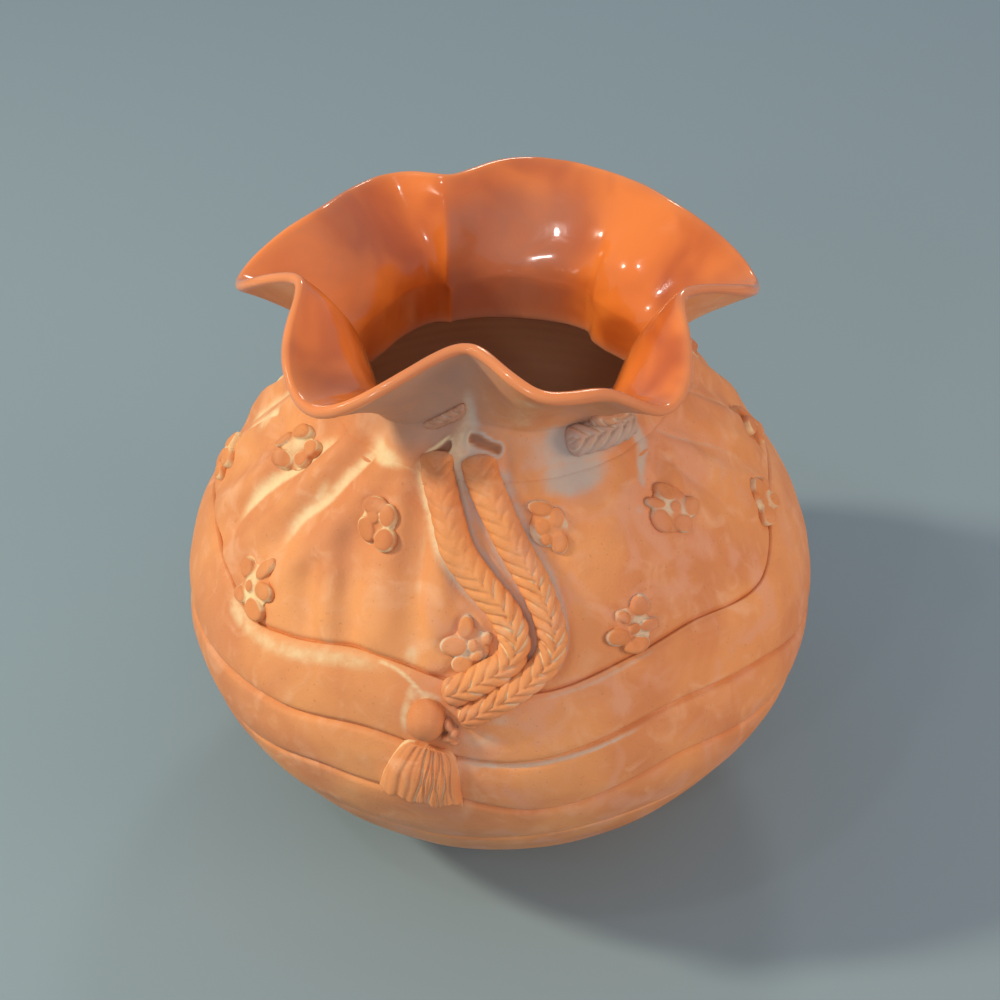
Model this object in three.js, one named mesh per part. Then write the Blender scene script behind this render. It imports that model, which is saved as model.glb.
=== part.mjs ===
// Redware vase in the form of a gathered cloth pouch tied at the neck with a tasselled cord.
// Millimetres, +Z up, origin at the middle of the foot, front of the vase towards -Y.
// A place on the wall is given by its turn and its rise. The turn is an angle in degrees, seen from
// above, counted from +X, so the front is at -90. The rise is 0 at the belly, 100 where the neck
// begins and -100 at the foot.
import * as THREE from 'three';

const { degToRad, radToDeg, lerp, smoothstep } = THREE.MathUtils;

const FULL_TURN = 360;
const NECK_RISE = 100;
const FOOT_RISE = -100;

// Outline of the dressed pot
const FOOT_RADIUS = 42;
const FOOT_HANDLE = [18, 16];
const BELLY_RADIUS = 90;
const BELLY_HEIGHT = 72;
const BELLY_HANDLE_BELOW = 28;
const BELLY_HANDLE_ABOVE = 18;
const NECK_RADIUS = 43;
const NECK_HEIGHT = 150;
const NECK_HANDLE = [36, 36];

// Thrown pot under the dressing
const POT_WALL = 5;
const POT_FLOOR = 6;
const MOUTH_RIM_DROP = 9;
const MOUTH_RIM_DEPTH = 4;
const MOUTH_RIM_SET_IN = 2;
const FOOT_LEDGE_HEIGHT = 10;

// Applied layers of clay
const SKIN_THICKNESS = 3;
const LAYER_GAP = 0.4;
const EDGE_GAP = 0.3;
const RELIEF_GAP = 0.5;
const RELIEF_REACH = 1.3;
const ROLL_CREST = 0.5;
const ROLL_SHOULDER = -0.3;
const ROLL_CREASE = -1.6;
const HEM_LEDGE = -0.5;
const CLOTH_LIFT = -0.5;
const CLOTH_HEM_LIFT = -1.8;
const CLOTH_TOP_DROP = 3.9;
const HEM_BLEND_RISE = 6;

// Ruffled mouth
const RUFFLE_WALL = 4.4;
const RUFFLE_PIVOT_SET_OUT = 2;
const RUFFLE_PIVOT_DROP = 3;
const THROAT_FOLD = 2.2;
const RUFFLE_MEAN_LEAN = 35;
const RUFFLE_LEAN_SWING = 25;
const RUFFLE_RISE_SHARE = 0.52;
const RUFFLE_REACH_SHARE = 0.12;
const RUFFLE_LIP_SHARE = 0.05;
const SPIGOT_GAP = 0.3;
const SPIGOT_WALL = 4.7;
const SPIGOT_DEPTH = 4.8;
const COLLAR_SEAT_SET_IN = 1;
const COLLAR_WAIST_GAP = 1.5;
const COLLAR_SHOULDER_GAP = 0.5;

// Cord, tassel and blossoms
const STRAND_HALF_WIDTH = 4;
const STRAND_HEIGHT = 5;
const STRAND_LOW_END = 0.85;
const STRAND_END_SHARE = 0.55;
const STRAND_END_LENGTH = 0.05;
const NECK_CORD_RADIUS = 2.5;
const NECK_CORD_RAISE = [1.2, 0.6];
const NECK_CORD_CLEARANCE = [0.9, 1.8];
const CORD_END_SWELL = 0.45;
const BALL_RADIUS = 5.3;
const BALL_HEIGHT = 6.5;
const KNOT_RADIUS = 2.6;
const KNOT_HEIGHT = 3.4;
const SKIRT_TOP_WIDTH = 8;
const SKIRT_FOOT_WIDTH = 22.5;
const SKIRT_FLARE = 0.4;
const SKIRT_HEIGHT = 4.6;
const SKIRT_TOP_SHARE = 0.85;
const BLOSSOM_HEIGHT = 2.3;
const BLOSSOM_WAIST_SHARE = 0.74;
const PETALS = 5;

// Facets round the vase, and steps along the cords
const POT_FACETS = 48;
const CLOTH_FACETS = 96;
const RUFFLE_FACETS = 90;
const BLOSSOM_FACETS = 15;
const DOME_FACETS = 12;
const STRAND_STEPS = 26;
const SKIRT_STEPS = 7;
const NECK_CORD_STEPS = 6;
const NECK_CORD_SIDES = 6;

// Edges between the wrapped folds, as [turn, rise] read round the pot
const CLOTH_HEM = [
  [-171, 38], [-154, 36], [-144, 33], [-133, 37], [-116, 44], [-84, 38], [-69, 46], [-51, 44],
  [-29, 38], [-9, 49], [16, 43], [42, 36], [66, 42], [92, 37], [118, 43], [142, 36], [168, 30],
];
const FIRST_FOLD = [
  [-160, 7], [-131, 14], [-113, 21], [-86, 16.5], [-58, 21], [-40, 16], [-19, 5], [20, -2], [70, 4],
  [120, 0], [165, 3],
];
const SECOND_FOLD = [
  [-141, -14], [-120, -2], [-100, -1], [-83, -8], [-58, 0], [-39, -8], [0, -19], [60, -16],
  [120, -21], [170, -19],
];
const THIRD_FOLD = [
  [-140, -36], [-113, -30], [-100, -33], [-86, -31], [-64, -25], [-35, -32], [10, -40], [75, -36],
  [130, -41], [180, -40],
];

// Gathers of the cloth, each a soft trough from one place on the wall to another:
// [turn and rise at the top, turn and rise at the foot, depth, half width]
const FRONT_GATHERS = [
  [-164, 93, -179, 40, 1.6, 4.4], [-150, 93, -164, 38, 1.7, 4.2], [-134, 96, -146, 50, 1.7, 4.2],
  [-134, 62, -129, 40, 0.8, 4], [-126, 74, -120.5, 43, 1.1, 4], [-112, 96, -107, 43, 1.7, 3.6],
  [-72, 96, -66, 79, 1.2, 4], [-38, 96, -45, 79, 1.6, 4], [-33, 92, -25, 48, 0.9, 3.4],
  [-27, 93, -3, 52, 1.2, 4], [-2, 95, 18, 50, 1.5, 4.4],
];
const BACK_GATHER_TURNS = [21, 38, 55, 73, 90, 107, 125, 143, 161, 179];
const BACK_GATHER_MIDDLE = 80;
const BACK_GATHER_DRIFT = 0.15;
const BACK_GATHER_RISES = [94, 42];
const BACK_GATHER_DEPTH = 1.5;
const BACK_GATHER_WIDTH = 4.4;
const GATHER_FADE_IN = [-0.15, 0.1];
const GATHER_FADE_OUT = [0.8, 1.15];
const GATHER_RIDGE_SHARE = 0.5;

// Ruffle, as [turn, lean from upright, length of wall above the pivot]
const RUFFLE_FOLDS = [
  [-188, 60, 36.8], [-166, 23, 36.3], [-134, 55, 36], [-100, 10.5, 36], [-78, 33.5, 35.8],
  [-65, 36, 35.8], [-51, 51, 34.5], [-25, 19, 36.8], [9, 59, 35.6], [37, 35, 33.4], [78, 38, 33.8],
  [107, 17, 30], [124, 40, 33.8], [149, 33, 33.4],
];

// Routes of the two cord strands over the shoulder, as [turn, rise]
const LEFT_STRAND = [
  [-111, 98.5], [-109.4, 94], [-107, 90], [-103.8, 84], [-100, 76], [-94.8, 69], [-89.4, 61.5],
  [-87.2, 54], [-88.6, 47.5], [-92.6, 43.6], [-96.6, 40], [-100.2, 37.6],
];
const RIGHT_STRAND = [
  [-97.4, 99], [-95.8, 95], [-93.6, 91], [-91, 86], [-87.4, 79], [-83.2, 70], [-80.8, 62],
  [-79.8, 54], [-81, 48], [-84.4, 43], [-88.6, 38.6], [-93, 34.2], [-97, 30.2],
];
const LEFT_STRAND_TAPER = [1, 0.85];
const RIGHT_STRAND_TAPER = [1, 0.7];
const BALL_PLACE = [-102.5, 29.2];
const KNOT_PLACE = [-97.4, 23.8];
const SKIRT_ROUTE = [[-101.8, 20.4], [-102.4, 12], [-103, 4], [-103.2, -1.5]];

// Stretches of the cord that show round the neck, as [turn at one end, turn at the other]
const NECK_CORD_STRETCHES = [[-69, -39], [-14, 12], [48, 74], [112, 136], [166, 190]];

// Stretches pressed under the ruffle, where the cord climbs and where it crosses over itself
const NECK_CORD_CLIMB = { turns: [-120, -102], shares: [0.1, 0.34], halfWidth: 2.4, thickness: 2.2 };
const NECK_CORD_CROSSING = { turns: [-58, -34], shares: [0.39, 0.39], halfWidth: 2.5, thickness: 2.2 };

// Plum blossoms, as [turn, rise, spin, radius]
const BLOSSOMS = [
  [-120.5, 79, 10, 8.4], [-145, 45, 40, 8], [-158, 80, 0, 7.6], [174.5, 46, 30, 8], [-97.5, 54.5, 20, 7],
  [-74.5, 82, 55, 6.6], [-63.5, 54, 15, 7.4], [-43, 73, 65, 8], [-14, 54, 35, 7.6], [8, 58, 5, 7.6],
  [32, 74, 50, 7.6], [58, 54, 20, 8], [84, 72, 0, 7.6], [110, 55, 45, 8], [140, 73, 25, 7.6],
];

const CLAY = { color: 0xd08a5c, roughness: 0.82, metalness: 0 };
const CLAY_BANDS = { color: 0xd2875a, roughness: 0.8, metalness: 0 };
const CLAY_RELIEF = { color: 0xcf8252, roughness: 0.78, metalness: 0 };
const CLAY_BODY = { color: 0xb8683f, roughness: 0.85, metalness: 0 };
const ORANGE_GLAZE = { color: 0xd9642a, roughness: 0.18, metalness: 0 };

// Sections of the applied clay. The relief's are [share across, share of the height].
const BAND_SECTION = [
  [1, ROLL_CREASE], [0.88, ROLL_SHOULDER], [0.5, ROLL_CREST], [0.12, ROLL_SHOULDER], [0, ROLL_CREASE],
];
const STRIP_SECTION = [
  [1, 0], [0.95, 0.55], [0.55, 0.92], [0, 1], [-0.55, 0.92], [-0.95, 0.55], [-1, 0], [0, 0],
];
const PRESSED_CORD_SECTION = [[1, 0], [0.8, 0.7], [0, 1], [-0.8, 0.7], [-1, 0], [0, 0]];
const DOME_SECTION = [[0.85, 0], [1, 0.35], [0.87, 0.7], [0.5, 0.93]];
const BLOSSOM_SECTION = [[0.5, 0], [1, 0.17], [0.64, 1], [0.25, 0.5]];

const vase = new THREE.Group();

function addPiece(name, geometry, finish) {
  geometry.computeVertexNormals();
  const mesh = new THREE.Mesh(geometry, new THREE.MeshStandardMaterial(finish));
  mesh.name = name;
  vase.add(mesh);
}

// A smooth closed curve through rows whose first entry is a turn. It keeps its highs and lows at
// the rows, so a fold never swings past the height that is written for it.
function closedCurve(rows, column) {
  const sorted = rows.map((row) => [row[0], row[column]]).sort((a, b) => a[0] - b[0]);
  const count = sorted.length;
  const knot = (i) => {
    const laps = Math.floor(i / count);
    const [turn, value] = sorted[i - laps * count];
    return { turn: turn + FULL_TURN * laps, value };
  };
  const slopeAfter = (i) => (knot(i + 1).value - knot(i).value) / (knot(i + 1).turn - knot(i).turn);
  const slopeAt = (i) => {
    const before = slopeAfter(i - 1);
    const after = slopeAfter(i);
    return before * after > 0 ? (2 * before * after) / (before + after) : 0;
  };
  return (turn) => {
    let place = turn;
    while (place < sorted[0][0]) place += FULL_TURN;
    while (place >= sorted[0][0] + FULL_TURN) place -= FULL_TURN;
    let i = 0;
    while (knot(i + 1).turn <= place) i += 1;
    const span = knot(i + 1).turn - knot(i).turn;
    const t = (place - knot(i).turn) / span;
    const start = knot(i).value * (1 + 2 * t) * (1 - t) ** 2 + slopeAt(i) * span * t * (1 - t) ** 2;
    const end = knot(i + 1).value * t * t * (3 - 2 * t) + slopeAt(i + 1) * span * t * t * (t - 1);
    return start + end;
  };
}

// The hem and the band below it meet along one line of straight stretches
function faceted(curve, facets) {
  const step = FULL_TURN / facets;
  return (turn) => {
    const before = Math.floor(turn / step) * step;
    return lerp(curve(before), curve(before + step), (turn - before) / step);
  };
}

const clothHem = faceted(closedCurve(CLOTH_HEM, 1), POT_FACETS);
const firstFold = closedCurve(FIRST_FOLD, 1);
const secondFold = closedCurve(SECOND_FOLD, 1);
const thirdFold = closedCurve(THIRD_FOLD, 1);
const ruffleLean = closedCurve(RUFFLE_FOLDS, 1);
const ruffleLength = closedCurve(RUFFLE_FOLDS, 2);

// Solid through a row of loops. It either closes on itself or is capped at both ends.
function loftSolid(loops, closesOnItself) {
  const size = loops[0].length;
  const points = loops.flat();
  const triangles = [];
  const at = (k, j) => (k % loops.length) * size + (j % size);
  const joins = closesOnItself ? loops.length : loops.length - 1;
  for (let k = 0; k < joins; k += 1) {
    for (let j = 0; j < size; j += 1) {
      triangles.push(at(k, j), at(k, j + 1), at(k + 1, j + 1));
      triangles.push(at(k, j), at(k + 1, j + 1), at(k + 1, j));
    }
  }
  if (!closesOnItself) {
    const middle = (loop) => loop.reduce((sum, p) => sum.add(p), new THREE.Vector3()).divideScalar(size);
    points.push(middle(loops[0]), middle(loops[loops.length - 1]));
    for (let j = 0; j < size; j += 1) {
      triangles.push(points.length - 2, at(0, j + 1), at(0, j));
      triangles.push(points.length - 1, at(loops.length - 1, j), at(loops.length - 1, j + 1));
    }
  }
  const geometry = new THREE.BufferGeometry().setFromPoints(points);
  geometry.setIndex(triangles);
  return geometry;
}

// Solid that goes once round the vase. The section at each turn runs down its outer side.
function ringSolid(facets, section) {
  const loops = [];
  for (let i = 0; i < facets; i += 1) loops.push(section((FULL_TURN / facets) * i));
  return loftSolid(loops, true);
}

function polar(turn, radius, height) {
  const angle = degToRad(turn);
  return new THREE.Vector3(radius * Math.cos(angle), radius * Math.sin(angle), height);
}

// Outline of the dressed pot: one curve from foot to belly, one from belly to neck
const lowerOutline = new THREE.CubicBezierCurve(
  new THREE.Vector2(FOOT_RADIUS, 0),
  new THREE.Vector2(FOOT_RADIUS + FOOT_HANDLE[0], FOOT_HANDLE[1]),
  new THREE.Vector2(BELLY_RADIUS, BELLY_HEIGHT - BELLY_HANDLE_BELOW),
  new THREE.Vector2(BELLY_RADIUS, BELLY_HEIGHT),
);
const upperOutline = new THREE.CubicBezierCurve(
  new THREE.Vector2(BELLY_RADIUS, BELLY_HEIGHT),
  new THREE.Vector2(BELLY_RADIUS, BELLY_HEIGHT + BELLY_HANDLE_ABOVE),
  new THREE.Vector2(NECK_RADIUS + NECK_HANDLE[0], NECK_HEIGHT - NECK_HANDLE[1]),
  new THREE.Vector2(NECK_RADIUS, NECK_HEIGHT),
);

function riseScale(rise) {
  return rise < 0 ? -BELLY_HEIGHT / FOOT_RISE : (NECK_HEIGHT - BELLY_HEIGHT) / NECK_RISE;
}

// Point of the outline at a rise, with the direction along it and the direction out of the wall
function outlineAt(rise) {
  const curve = rise < 0 ? lowerOutline : upperOutline;
  const height = BELLY_HEIGHT + Math.min(rise, NECK_RISE) * riseScale(rise);
  let low = 0;
  let high = 1;
  for (let i = 0; i < 40; i += 1) {
    const middle = (low + high) / 2;
    if (curve.getPoint(middle).y < height) low = middle;
    else high = middle;
  }
  const along = curve.getTangent(low);
  return { point: curve.getPoint(low), along, out: new THREE.Vector2(along.y, -along.x) };
}

function profilePoint(rise, lift) {
  const { point, out } = outlineAt(rise);
  return point.clone().addScaledVector(out, lift);
}

function riseAtHeight(height, lift) {
  let low = FOOT_RISE;
  let high = NECK_RISE;
  for (let i = 0; i < 40; i += 1) {
    const middle = (low + high) / 2;
    if (profilePoint(middle, lift).y < height) low = middle;
    else high = middle;
  }
  return low;
}

const clothTopRise = NECK_RISE - CLOTH_TOP_DROP / riseScale(NECK_RISE);
const footLedgeRise = (FOOT_LEDGE_HEIGHT - BELLY_HEIGHT) / riseScale(FOOT_RISE);

// Where the pot's rim, the cloth's top edge and the ruffle's spigot meet
const potLift = -(SKIN_THICKNESS + LAYER_GAP);
const rimHeight = NECK_HEIGHT - MOUTH_RIM_DROP;
const rimPoint = profilePoint(riseAtHeight(rimHeight, potLift), potLift);
const boreRadius = NECK_RADIUS - MOUTH_RIM_SET_IN;
const spigotRadius = boreRadius - SPIGOT_GAP;
const throatRadius = spigotRadius - SPIGOT_WALL;
const clothTop = profilePoint(clothTopRise, -SKIN_THICKNESS);

function wallPoint(turn, rise, lift) {
  const { x, y } = profilePoint(rise, lift);
  return polar(turn, x, y);
}

const gathers = FRONT_GATHERS.concat(BACK_GATHER_TURNS.map((turn) => [
  turn, BACK_GATHER_RISES[0], turn + BACK_GATHER_DRIFT * (BACK_GATHER_MIDDLE - turn),
  BACK_GATHER_RISES[1], BACK_GATHER_DEPTH, BACK_GATHER_WIDTH,
]));

function nearestTurn(turn, target) {
  return turn + FULL_TURN * Math.round((target - turn) / FULL_TURN);
}

// Height of the gathered cloth's surface over the outline
function clothLift(turn, rise) {
  let lift = CLOTH_LIFT;
  const radius = outlineAt(rise).point.x;
  for (const [topTurn, topRise, footTurn, footRise, depth, width] of gathers) {
    const share = (topRise - rise) / (topRise - footRise);
    const middle = lerp(topTurn, footTurn, share);
    const away = degToRad(nearestTurn(turn, middle) - middle) * radius;
    const fade = smoothstep(share, ...GATHER_FADE_IN) * (1 - smoothstep(share, ...GATHER_FADE_OUT));
    const trough = Math.exp(-((away / width) ** 2));
    const ridge = Math.exp(-(((Math.abs(away) - 2 * width) / width) ** 2));
    lift += depth * fade * (GATHER_RIDGE_SHARE * ridge - trough);
  }
  return lift;
}

// Level on which the cord, tassel and blossoms lie: the cloth, or the crest of the rolls
function reliefSeat(turn, rise) {
  const reaches = [-RELIEF_REACH, 0, RELIEF_REACH];
  const cloth = Math.max(...reaches.map((reach) => clothLift(turn + reach, rise)));
  const blend = lerp(ROLL_CREST, cloth, smoothstep(rise - clothHem(turn), 0, HEM_BLEND_RISE));
  return Math.max(blend, cloth);
}

// The thrown pot, turned from one outline
function potBody() {
  const outerRises = [footLedgeRise, -60, -36, -16, 4, 22, 38, 54, 68, 80];
  const innerRises = [80, 64, 46, 26, 4, -20, -46, -72];
  const outline = [new THREE.Vector2(0, 0), new THREE.Vector2(FOOT_RADIUS, 0)];
  outline.push(profilePoint(footLedgeRise, 0));
  outerRises.forEach((rise) => outline.push(profilePoint(rise, potLift)));
  outline.push(rimPoint);
  outline.push(new THREE.Vector2(boreRadius, rimHeight));
  outline.push(new THREE.Vector2(boreRadius, rimHeight - MOUTH_RIM_DEPTH));
  innerRises.forEach((rise) => outline.push(profilePoint(rise, potLift - POT_WALL)));
  outline.push(new THREE.Vector2(FOOT_RADIUS, POT_FLOOR), new THREE.Vector2(0, POT_FLOOR));
  const geometry = new THREE.LatheGeometry(outline, POT_FACETS);
  geometry.rotateX(Math.PI / 2);
  return geometry;
}

// One wrapped fold of cloth, a low roll between an upper and a lower edge
function wrapBand(upperEdge, lowerEdge, upperLift, innerShares) {
  return ringSolid(POT_FACETS, (turn) => {
    const top = upperEdge(turn) - EDGE_GAP / 2 / riseScale(upperEdge(turn));
    const foot = lowerEdge(turn) + EDGE_GAP / 2 / riseScale(lowerEdge(turn));
    const outer = BAND_SECTION.map(([share, lift]) => (
      wallPoint(turn, lerp(foot, top, share), share === 1 ? upperLift : lift)
    ));
    const inner = innerShares.map((share) => (
      wallPoint(turn, lerp(foot, top, share), -SKIN_THICKNESS)
    ));
    return outer.concat(inner);
  });
}

// The gathered cloth from its hem up to the neck
function shoulderCloth() {
  const outerShares = [1, 0.93, 0.78, 0.6, 0.4, 0.2, 0.06, 0];
  const innerShares = [0, 0.33, 0.67, 1];
  return ringSolid(CLOTH_FACETS, (turn) => {
    const hem = clothHem(turn) + EDGE_GAP / 2 / riseScale(clothHem(turn));
    const outer = outerShares.map((share) => {
      const rise = lerp(hem, clothTopRise, share);
      const lift = share === 0 ? CLOTH_HEM_LIFT : clothLift(turn, rise);
      return wallPoint(turn, rise, lift);
    });
    const inner = innerShares.map((share) => (
      wallPoint(turn, lerp(hem, clothTopRise, share), -SKIN_THICKNESS)
    ));
    return outer.concat(inner);
  });
}

// How far a turn is thrown outwards by the ruffle: -1 in the deepest fold, 1 at the widest lobe
function foldSwing(turn) {
  return (ruffleLean(turn) - RUFFLE_MEAN_LEAN) / RUFFLE_LEAN_SWING;
}

// Middle of the ruffle's wall, from the throat at 0 to the lip at 1
function ruffleMiddle(turn, share) {
  const lean = degToRad(ruffleLean(turn));
  const length = ruffleLength(turn);
  const swing = foldSwing(turn);
  const start = new THREE.Vector2(throatRadius + RUFFLE_WALL / 2 + THROAT_FOLD * swing, NECK_HEIGHT);
  const lip = new THREE.Vector2(
    throatRadius + RUFFLE_PIVOT_SET_OUT + length * Math.sin(lean),
    NECK_HEIGHT - RUFFLE_PIVOT_DROP + length * Math.cos(lean),
  );
  const handle = new THREE.Vector2(
    lerp(start.x, lip.x, RUFFLE_REACH_SHARE),
    lerp(start.y, lip.y, RUFFLE_RISE_SHARE),
  );
  const { x, y } = new THREE.QuadraticBezierCurve(start, handle, lip).getPoint(share);
  return polar(turn, x, y);
}

// Point on the ruffle, a distance out of the middle of its wall and square to it
function rufflePoint(turn, share, out) {
  const step = 0.01;
  const around = ruffleMiddle(turn + 1, share).sub(ruffleMiddle(turn - 1, share));
  const upward = ruffleMiddle(turn, share + step).sub(ruffleMiddle(turn, share - step));
  const outward = around.cross(upward).normalize();
  return ruffleMiddle(turn, share).addScaledVector(outward, out);
}

// The ruffled mouth with the collar that seats on the pot's rim and the spigot inside its bore
function mouthRuffle() {
  const shares = [0, 0.25, 0.5, 0.76, 1];
  const half = RUFFLE_WALL / 2;
  const seatHeight = rimHeight + SPIGOT_GAP;
  const spigotFoot = seatHeight - SPIGOT_DEPTH;
  return ringSolid(RUFFLE_FACETS, (turn) => {
    const bore = throatRadius + THROAT_FOLD * foldSwing(turn);
    const outer = shares.map((share) => rufflePoint(turn, share, half)).reverse();
    const inner = shares.map((share) => rufflePoint(turn, share, -half));
    const collar = [
      polar(turn, clothTop.x - COLLAR_SHOULDER_GAP, clothTop.y + SKIN_THICKNESS),
      polar(turn, clothTop.x - COLLAR_WAIST_GAP, clothTop.y),
      polar(turn, rimPoint.x - COLLAR_SEAT_SET_IN, seatHeight),
      polar(turn, spigotRadius, seatHeight),
      polar(turn, spigotRadius, spigotFoot),
      polar(turn, bore, spigotFoot),
      polar(turn, bore, clothTop.y),
    ];
    const lip = rufflePoint(turn, 1 + RUFFLE_LIP_SHARE, 0);
    return [lip].concat(outer, collar, inner);
  });
}

// Place on the wall that lies some millimetres to the side and up from another
function wallStep([turn, rise], side, up) {
  const { point, along } = outlineAt(rise);
  return [turn + radToDeg(side / point.x), rise + (up * along.y) / riseScale(rise)];
}

// Point of a relief on the wall, at a height over the layer that carries it
function reliefPoint(place, side, up, height) {
  const [turn, rise] = wallStep(place, side, up);
  return wallPoint(turn, rise, reliefSeat(turn, rise) + RELIEF_GAP + height);
}

// A low dome of clay pressed on the wall
function pressedDome(place, facets, radiusAt, section, height) {
  const loops = section.map(([reachShare, heightShare]) => {
    const loop = [];
    for (let i = 0; i < facets; i += 1) {
      const angle = (2 * Math.PI * i) / facets;
      const side = reachShare * radiusAt(angle) * Math.cos(angle);
      const up = reachShare * radiusAt(angle) * Math.sin(angle);
      loop.push(reliefPoint(place, side, up, heightShare * height));
    }
    return loop;
  });
  return loftSolid(loops, false);
}

// A plum blossom with five round petals and a boss in the middle
function plumBlossom([turn, rise, spin, radius]) {
  const lobe = (angle) => Math.abs(Math.cos((PETALS / 2) * (angle - degToRad(spin))));
  const petalAt = (angle) => radius * lerp(BLOSSOM_WAIST_SHARE, 1, lobe(angle));
  return pressedDome([turn, rise], BLOSSOM_FACETS, petalAt, BLOSSOM_SECTION, BLOSSOM_HEIGHT);
}

function roundDome(place, radius, height) {
  return pressedDome(place, DOME_FACETS, () => radius, DOME_SECTION, height);
}

// A strip of clay with a rounded back along a route on the wall. The widths and heights are given
// at a share of the way along.
function pressedStrip(route, steps, halfWidthAt, heightAt) {
  const points = route.map(([turn, rise]) => new THREE.Vector3(turn, rise, 0));
  const curve = new THREE.CatmullRomCurve3(points);
  const loops = [];
  for (let i = 0; i <= steps; i += 1) {
    const share = i / steps;
    const { x: turn, y: rise } = curve.getPoint(share);
    const ahead = curve.getTangent(share);
    const { point, along } = outlineAt(rise);
    const aheadSide = degToRad(ahead.x) * point.x;
    const aheadUp = (ahead.y * riseScale(rise)) / along.y;
    const length = Math.hypot(aheadSide, aheadUp);
    loops.push(STRIP_SECTION.map(([across, height]) => {
      const side = (-aheadUp / length) * across * halfWidthAt(share);
      const up = (aheadSide / length) * across * halfWidthAt(share);
      return reliefPoint([turn, rise], side, up, height * heightAt(share));
    }));
  }
  return loftSolid(loops, false);
}

function cordStrand(route, taper) {
  const round = (share) => {
    const fromEnd = Math.min(share, 1 - share) / STRAND_END_LENGTH;
    return lerp(STRAND_END_SHARE, 1, Math.min(fromEnd, 1));
  };
  const halfWidthAt = (share) => STRAND_HALF_WIDTH * lerp(taper[0], taper[1], share) * round(share);
  const heightAt = (share) => STRAND_HEIGHT * lerp(1, STRAND_LOW_END, share) * round(share);
  return pressedStrip(route, STRAND_STEPS, halfWidthAt, heightAt);
}

function tasselSkirt() {
  const halfWidthAt = (share) => lerp(SKIRT_TOP_WIDTH, SKIRT_FOOT_WIDTH, share ** SKIRT_FLARE) / 2;
  const heightAt = (share) => SKIRT_HEIGHT * lerp(SKIRT_TOP_SHARE, 1, share);
  return pressedStrip(SKIRT_ROUTE, SKIRT_STEPS, halfWidthAt, heightAt);
}

// A stretch of the cord that shows between two slits round the neck
function neckCord([fromTurn, toTurn]) {
  const loops = [];
  for (let i = 0; i <= NECK_CORD_STEPS; i += 1) {
    const share = i / NECK_CORD_STEPS;
    const turn = lerp(fromTurn, toTurn, share);
    const swell = lerp(CORD_END_SWELL, 1, Math.sqrt(Math.sin(Math.PI * share)));
    const wall = throatRadius + RUFFLE_WALL + THROAT_FOLD * foldSwing(turn);
    const towardsLobe = (foldSwing(turn) + 1) / 2;
    const height = NECK_HEIGHT + lerp(NECK_CORD_RAISE[0], NECK_CORD_RAISE[1], towardsLobe);
    const clearance = lerp(NECK_CORD_CLEARANCE[0], NECK_CORD_CLEARANCE[1], towardsLobe);
    const middle = wall + clearance + NECK_CORD_RADIUS;
    const loop = [];
    for (let j = 0; j < NECK_CORD_SIDES; j += 1) {
      const angle = (2 * Math.PI * j) / NECK_CORD_SIDES;
      const radius = NECK_CORD_RADIUS * swell;
      loop.push(polar(turn, middle + radius * Math.cos(angle), height - radius * Math.sin(angle)));
    }
    loops.push(loop);
  }
  return loftSolid(loops, false);
}

// A short stretch of the cord that is pressed against the underside of the ruffle
function ruffleCord({ turns, shares, halfWidth, thickness }) {
  const loops = [];
  for (let i = 0; i <= NECK_CORD_STEPS; i += 1) {
    const share = i / NECK_CORD_STEPS;
    const turn = lerp(turns[0], turns[1], share);
    const swell = lerp(CORD_END_SWELL, 1, Math.sin(Math.PI * share));
    const length = ruffleLength(turn);
    loops.push(PRESSED_CORD_SECTION.map(([across, raise]) => {
      const place = lerp(shares[0], shares[1], share) + (across * halfWidth * swell) / length;
      return rufflePoint(turn, place, RUFFLE_WALL / 2 + RELIEF_GAP + raise * thickness * swell);
    }));
  }
  return loftSolid(loops, false);
}

const footLedge = () => footLedgeRise;
const tallBand = [0, 0.25, 0.5, 0.75, 1];
const midBand = [0, 0.33, 0.67, 1];
const lowBand = [0, 0.5, 1];

addPiece('pot_body', potBody(), CLAY_BODY);
addPiece('mouth_ruffle', mouthRuffle(), ORANGE_GLAZE);
addPiece('shoulder_cloth', shoulderCloth(), CLAY);
addPiece('wrap_band_upper', wrapBand(clothHem, firstFold, HEM_LEDGE, tallBand), CLAY_BANDS);
addPiece('wrap_band_middle', wrapBand(firstFold, secondFold, ROLL_CREASE, lowBand), CLAY_BANDS);
addPiece('wrap_band_lower', wrapBand(secondFold, thirdFold, ROLL_CREASE, midBand), CLAY_BANDS);
addPiece('wrap_band_foot', wrapBand(thirdFold, footLedge, ROLL_CREASE, tallBand), CLAY_BANDS);
addPiece('cord_strand_left', cordStrand(LEFT_STRAND, LEFT_STRAND_TAPER), CLAY_RELIEF);
addPiece('cord_strand_right', cordStrand(RIGHT_STRAND, RIGHT_STRAND_TAPER), CLAY_RELIEF);
addPiece('tassel_ball', roundDome(BALL_PLACE, BALL_RADIUS, BALL_HEIGHT), CLAY_RELIEF);
addPiece('tassel_knot', roundDome(KNOT_PLACE, KNOT_RADIUS, KNOT_HEIGHT), CLAY_RELIEF);
addPiece('tassel_skirt', tasselSkirt(), CLAY_RELIEF);
NECK_CORD_STRETCHES.forEach((stretch, i) => {
  addPiece(`neck_cord_${i + 1}`, neckCord(stretch), CLAY_RELIEF);
});
addPiece('neck_cord_climb', ruffleCord(NECK_CORD_CLIMB), CLAY_RELIEF);
addPiece('neck_cord_crossing', ruffleCord(NECK_CORD_CROSSING), CLAY_RELIEF);
BLOSSOMS.forEach((blossom, i) => {
  addPiece(`blossom_${String(i + 1).padStart(2, '0')}`, plumBlossom(blossom), CLAY_RELIEF);
});

export default vase;
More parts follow.
